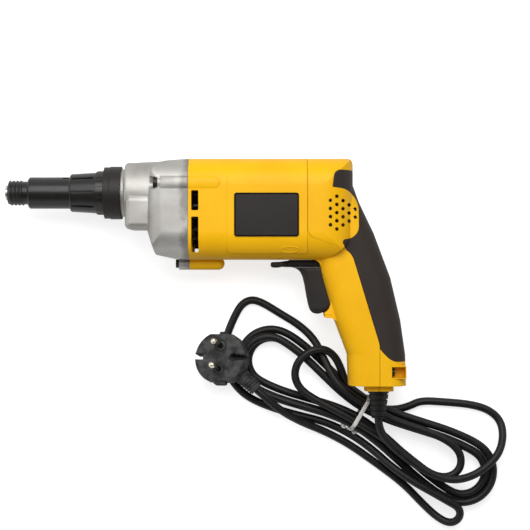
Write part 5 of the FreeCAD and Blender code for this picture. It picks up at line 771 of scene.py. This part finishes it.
# Cable tie: a flat wire tie with a plastic skin, bent round the hank's waist, its ends twisted and turned
# out. The sections are shares of half the tie's width and of its thickness.
# Soft vinyl: white, a little glossy, greyed where it is creased.
white_vinyl, tree, shader, place = finish_named("white_tie_vinyl", 0.4, 1.53)
crease = add_node(tree, "ShaderNodeTexNoise", {"Vector": place, "Scale": 1 / (2 * MM)})
tone = add_node(tree, "ShaderNodeValToRGB", {"Fac": crease.outputs["Fac"]}, ((0, "#C9C6C2"), (1, "#EAE8E5")))
wire(shader, {"Base Color": tone.outputs["Color"]})
TIE_OUTLINE = ((-14.75, 0.85), (14.75, 0.85), (14.75, 12.6), (10.9, 21.85), (-10.9, 21.85), (-14.75, 12.6))
TIE_ROUND = 2.5
TIE_THICKNESS = 0.8
TIE_WIDTH = 3.2
BAND_SECTION = ((-1, 0.05), (1, 0.05), (1, 0.6), (0.7, 1), (-0.7, 1), (-1, 0.6))
band_rings = []
for spot, out in rounded_loop(TIE_OUTLINE, TIE_ROUND):
    ring = []
    for wide, thick in BAND_SECTION:
        edge = spot + out * TIE_THICKNESS * thick
        ring.append(hank_place @ Vector((wide * TIE_WIDTH / 2, edge.x, edge.y)))
    band_rings.append(ring)
tie_band = put_skin("tie_band", band_rings, white_vinyl, "housing", loop=True)
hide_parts("cable_tie")
TWIST_START = Vector((-1.0, -15.6, 8.6))
TWIST_LENGTH = 8.0
TWIST_STEPS = 24
TWIST_BOW = 1.2
TWIST_TURN = 1.5 * math.pi
TWIST_SECTION = ((-1, -0.6), (1, -0.6), (1, 0.6), (0.4, 1), (-0.4, 1), (-1, 0.6))
TIE_ENDS = (("left", -1, 1.6), ("right", 1, -0.8))
for word, side, rise in TIE_ENDS:
    twist_rings = []
    for step in range(TWIST_STEPS + 1):
        share = step / TWIST_STEPS
        bow_out = -TWIST_BOW * math.sin(math.pi * share)
        middle = TWIST_START + Vector((side * TWIST_LENGTH * share, bow_out, rise * share))
        spin = TWIST_TURN * share
        flat = Vector((0, math.cos(spin), math.sin(spin))) * TIE_WIDTH / 2
        through = Vector((0, -math.sin(spin), math.cos(spin))) * TIE_THICKNESS / 2
        twist_rings.append([hank_place @ (middle + flat * wide + through * deep)
                            for wide, deep in TWIST_SECTION])
    put_skin(f"tie_end_{word}", twist_rings, white_vinyl, "housing")

# Plug: a two-pin plug, a flat-sided disc with an earth notch and a keyhole, moulded round the cord's end.
# Plug rubber: mid grey black, dusty and dull, with a moulded grain of 0.4 mm, drawn at 0.9 mm to show.
plug_rubber, tree, shader, place = finish_named("moulded_plug_rubber", 0.62, 1.5, specular=0.25)
dust = add_node(tree, "ShaderNodeTexNoise", {"Vector": place, "Scale": 1 / (6 * MM), "Detail": 4.0})
tone = add_node(tree, "ShaderNodeValToRGB", {"Fac": dust.outputs["Fac"]},
                ((0.4, "#262626"), (0.62, "#474747")))
grain = add_node(tree, "ShaderNodeTexNoise", {"Vector": place, "Scale": 1 / GRAIN})
soft_edge = add_node(tree, "ShaderNodeBevel", {"Radius": 0.9 * MM}, samples=4)
relief = add_node(tree, "ShaderNodeBump", {"Height": grain.outputs["Fac"], "Strength": 0.15,
                                           "Distance": 0.05 * MM, "Normal": soft_edge.outputs["Normal"]})
wire(shader, {"Base Color": tone.outputs["Color"], "Normal": relief.outputs["Normal"]})
plug_frame = hank_place @ plug_place
PLUG_RADIUS = 21.3
PLUG_FLAT = 19.0
PLUG_DEPTH = 12.0
KEYHOLE_DEPTH = 9.0
NOTCH_HALF = 2.1
NOTCH_END = -14.4
KEYHOLE_OUT = 11.3
KEYHOLE_RADIUS = 3.3
SLOT_HALF = 2.1
PLUG_STEPS = 14
EDGE_STEPS = ((0.0, 1.0), (-0.3, 0.3), (-1.0, 0.0))


def bow(radius, first, last, centre=0.0):
    """Points of an arc in the plug's face round a place on its cross line, angles in radians."""
    turns = [first + (last - first) * step / PLUG_STEPS for step in range(PLUG_STEPS + 1)]
    return [Vector((centre + radius * math.cos(turn), radius * math.sin(turn))) for turn in turns]


def plug_prism(name, outline, top, bottom, finish):
    """A block of the plug between two depths, with its upper edge rounded over."""
    rings = []
    for depth, inset in ((bottom - top, 0.0),) + EDGE_STEPS[::-1]:
        rings.append([plug_frame @ Vector((*edge, top + depth)) for edge in moved_in(outline, inset)])
    return put_skin(name, rings, finish, "housing")


flat_turn = math.asin(PLUG_FLAT / PLUG_RADIUS)
notch_turn = math.asin(NOTCH_HALF / PLUG_RADIUS)
slot_turn = math.asin(SLOT_HALF / PLUG_RADIUS)
hole_turn = math.asin(SLOT_HALF / KEYHOLE_RADIUS)
notch = [Vector((NOTCH_END, NOTCH_HALF)), Vector((NOTCH_END, -NOTCH_HALF))]
left_side = bow(PLUG_RADIUS, math.pi - flat_turn, math.pi - notch_turn) + notch
left_side += bow(PLUG_RADIUS, math.pi + notch_turn, math.pi + flat_turn)
keyhole = bow(KEYHOLE_RADIUS, -hole_turn, hole_turn - 2 * math.pi, KEYHOLE_OUT)
front_outline = left_side + bow(PLUG_RADIUS, -flat_turn, -slot_turn) + keyhole
front_outline += bow(PLUG_RADIUS, slot_turn, flat_turn)
back_outline = left_side + bow(PLUG_RADIUS, -flat_turn, flat_turn)
plug_front = plug_prism("plug_front", front_outline, 0.0, -KEYHOLE_DEPTH, plug_rubber)
# The plug's back layer takes the darker cord rubber as painted shade: it darkens the keyhole's floor and the
# band of the plug's sides next to its back.
plug_back_painted_shade = plug_prism("plug_back_painted_shade", back_outline, -KEYHOLE_DEPTH, -PLUG_DEPTH, cord_rubber)
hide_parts("plug_body")
LUGS = (("upper", -3.0, 3.0, 18.5, 21.8), ("lower", -4.6, 5.4, -18.5, -22.0))
LUG_SPAN = (-9.0, -3.5)
LUG_TAPER = 0.7
lug_level = (LUG_SPAN[0] + LUG_SPAN[1]) / 2
lug_deep = (LUG_SPAN[1] - LUG_SPAN[0]) / 2
for word, left, right, root, tip in LUGS:
    middle = (left + right) / 2
    reach = (right - left) / 2
    lug_rings = []
    for y, share in ((root, 1.0), (root + (tip - root) * LUG_TAPER, 1.0), (tip, LUG_TAPER)):
        corners = ((-share, -share), (share, -share), (share, share), (-share, share))
        lug_rings.append([plug_frame @ Vector((middle + reach * aside, y, lug_level + lug_deep * up))
                          for aside, up in corners])
    put_skin(f"plug_lug_{word}", lug_rings, plug_rubber, "housing")

# Neck ribs: the plug's neck to one side, with rings round it that let it bend. Of the plug's rubber, and
# moulded in one with it.
RIBS = 6
RIB_STEPS = 4
RIB_SPAN = (0.58, 0.97)
NECK_RADII = (7.4, 5.2)
RIB_PROUD = 0.7
RIB_ROUND = 32
neck_side = NECK_HEADING.orthogonal().normalized()
neck_up = NECK_HEADING.cross(neck_side)


def neck_ring(share, radius):
    """A ring round the neck at a share of its length."""
    middle = NECK_START + NECK_HEADING * NECK_LENGTH * share
    return [plug_frame @ spot for spot in hoop(middle, neck_side, neck_up, radius, RIB_ROUND)]


rib_rings = [neck_ring(0.0, NECK_RADII[0])]
for number in range(RIBS * RIB_STEPS):
    share = RIB_SPAN[0] + (RIB_SPAN[1] - RIB_SPAN[0]) * number / (RIBS * RIB_STEPS - 1)
    radius = NECK_RADII[0] + (NECK_RADII[1] - NECK_RADII[0]) * share
    rib_rings.append(neck_ring(share, radius + (RIB_PROUD if number % RIB_STEPS in (1, 2) else 0.0)))
rib_rings.append(neck_ring(1.0, NECK_RADII[1]))
neck_ribs = put_skin("neck_ribs", rib_rings, plug_rubber, "housing")

# Plug pins: nickel-plated brass with a black sleeve on the half next to the plug, pressed into it.
# Nickel plate: a warm bright grey, polished, with handling marks of 0.3 mm, drawn at 1.2 mm to show.
nickel_plate, tree, shader, place = finish_named("nickel_plate", 0.18, metallic=1.0)
wear = add_node(tree, "ShaderNodeTexNoise", {"Vector": place, "Scale": 1 / (1.2 * MM)})
tone = add_node(tree, "ShaderNodeValToRGB", {"Fac": wear.outputs["Fac"]}, ((0, "#CFC8B4"), (1, "#EDE7D6")))
wire(shader, {"Base Color": tone.outputs["Color"]})
PINS = (("upper", 9.5), ("lower", -9.5))
PIN_ROUND = 32
SLEEVE_PROFILE = ((-5.9, 2.3), (9.0, 2.3), (9.6, 2.1))
METAL_PROFILE = ((9.0, 2.0), (9.6, 2.38), (17.2, 2.38), (18.3, 1.9), (18.9, 1.0))
# Pin rims: a thin raised ring round each pin's foot, where the face has a groove, of the dark cord rubber as
# painted shade for that groove.
GROOVE_SHADE_TUBE = 0.55
PIN_GROOVE_RADIUS = 4.6
GROOVE_SHADE_SECTION = ((-1, -0.5), (1, -0.5), (0.6, 0.8), (-0.6, 0.8))
groove_shade_profile = [(GROOVE_SHADE_TUBE * up, PIN_GROOVE_RADIUS + GROOVE_SHADE_TUBE * wide) for wide, up in GROOVE_SHADE_SECTION]


def plug_turning(name, profile, y, finish, loop=False):
    """A round piece along a pin, from heights over the plug's face and radii."""
    rings = []
    for height, radius in profile:
        ring = hoop(Vector((0, y, height)), ALONG, ACROSS, radius, PIN_ROUND)
        rings.append([plug_frame @ spot for spot in ring])
    return put_skin(name, rings, finish, "housing", loop)


pin_pieces = []
for word, y in PINS:
    sleeve = plug_turning(f"pin_sleeve_{word}", SLEEVE_PROFILE, y, cord_rubber)
    metal = plug_turning(f"pin_metal_{word}", METAL_PROFILE, y, nickel_plate)
    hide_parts("plug_pins")
    pin_pieces += [sleeve, metal]
# Painted shade: a dark ring round each pin for the groove round it.
for word, y in PINS:
    plug_turning(f"pin_groove_shade_{word}", groove_shade_profile, y, cord_rubber, loop=True)

# Studio: a white paper sheet under the object. It is lit to white for the camera and for reflections, and
# keeps the object's soft shadow.
SHEET_SIZE = 6.0
SHEET_DROP = 0.0004
PAPER_WHITE = 0.6
CAMERA_GLOW = 0.7
MIRROR_GLOW = 0.3
sheet_mesh = bpy.data.meshes.new("floor_sheet")
half = SHEET_SIZE / 2
sheet_corners = [(-half, -half, 0), (half, -half, 0), (half, half, 0), (-half, half, 0)]
sheet_mesh.from_pydata(sheet_corners, [], [(0, 1, 2, 3)])
floor_sheet = bpy.data.objects.new("floor_sheet", sheet_mesh)
bpy.context.scene.collection.objects.link(floor_sheet)
floor_sheet.location.z = -SHEET_DROP
white_paper = bpy.data.materials.new("white_studio_paper")
white_paper.use_nodes = True
tree = white_paper.node_tree
tree.nodes.clear()
rays = add_node(tree, "ShaderNodeLightPath", {})
mirrored = add_node(tree, "ShaderNodeMath", {0: rays.outputs["Is Glossy Ray"],
                                             1: rays.outputs["Is Transmission Ray"]}, operation="MAXIMUM")
reflected = add_node(tree, "ShaderNodeMath", {0: mirrored.outputs["Value"], 1: MIRROR_GLOW},
                     operation="MULTIPLY")
glow = add_node(tree, "ShaderNodeMath", {0: rays.outputs["Is Camera Ray"], 1: CAMERA_GLOW,
                                         2: reflected.outputs["Value"]}, operation="MULTIPLY_ADD")
lit = add_node(tree, "ShaderNodeEmission", {"Strength": glow.outputs["Value"]})
paper = add_node(tree, "ShaderNodeBsdfDiffuse", {"Color": (PAPER_WHITE, PAPER_WHITE, PAPER_WHITE, 1.0)})
both = add_node(tree, "ShaderNodeAddShader", {0: lit.outputs["Emission"], 1: paper.outputs["BSDF"]})
add_node(tree, "ShaderNodeOutputMaterial", {"Surface": both.outputs["Shader"]})
sheet_mesh.materials.append(white_paper)

# Studio walls: the light that the room throws back. What is seen or mirrored is white low down and dim
# overhead, and all other light from the room is an even, weak fill.
WALL_EDGE = (0.35, 0.7)
CEILING_DIM = 0.12
ROOM_FILL = 0.3
world = bpy.data.worlds.new("studio")
bpy.context.scene.world = world
world.use_nodes = True
tree = world.node_tree
rays = add_node(tree, "ShaderNodeLightPath", {})
room = add_node(tree, "ShaderNodeTexCoord", {})
direction = add_node(tree, "ShaderNodeSeparateXYZ", {"Vector": room.outputs["Generated"]})
seen = add_node(tree, "ShaderNodeMath", {0: rays.outputs["Is Camera Ray"], 1: rays.outputs["Is Glossy Ray"]},
                operation="MAXIMUM")
shown = add_node(tree, "ShaderNodeMath", {0: seen.outputs["Value"], 1: rays.outputs["Is Transmission Ray"]},
                 operation="MAXIMUM")
walls = add_node(tree, "ShaderNodeMapRange", {"Value": direction.outputs["Z"], "From Min": WALL_EDGE[0],
                                              "From Max": WALL_EDGE[1], "To Min": 1.0, "To Max": CEILING_DIM})
level = add_node(tree, "ShaderNodeMapRange", {"Value": shown.outputs["Value"], "To Min": ROOM_FILL,
                                              "To Max": walls.outputs["Result"]})
wire(tree.nodes["Background"], {"Color": (1.0, 1.0, 1.0, 1.0), "Strength": level.outputs["Result"]})

# Softboxes: a large soft light above the object's upper edge and a weaker one from the nose's side. Each has
# its place, its size and its power.
LIGHT_AIM = Vector((0.04, 0.0, 0.03))
SOFTBOXES = (
    ("key_softbox", (0.05, 0.55, 0.95), 0.8, 10.5),
    ("side_softbox", (-0.75, 0.1, 0.7), 0.6, 1.6),
)
for name, spot, size, power in SOFTBOXES:
    softbox = bpy.data.lights.new(name, "AREA")
    softbox.size = size
    softbox.energy = power
    lamp = bpy.data.objects.new(name, softbox)
    lamp.location = spot
    lamp.rotation_euler = (LIGHT_AIM - Vector(spot)).to_track_quat("-Z", "Y").to_euler()
    bpy.context.scene.collection.objects.link(lamp)

# Camera: straight above the object, as the photograph was taken, 1178 mm over the tool's middle plane.
CAMERA_PLACE = (0.0474, 0.00805, 1.212)
SENSOR_WIDTH = 36.0
FOCAL_LENGTH = 100.0
camera_data = bpy.data.cameras.new("overhead_camera")
camera_data.sensor_width = SENSOR_WIDTH
camera_data.lens = FOCAL_LENGTH
camera = bpy.data.objects.new("overhead_camera", camera_data)
camera.location = CAMERA_PLACE
bpy.context.scene.collection.objects.link(camera)
bpy.context.scene.camera = camera
bpy.context.scene.view_settings.view_transform = "Standard"
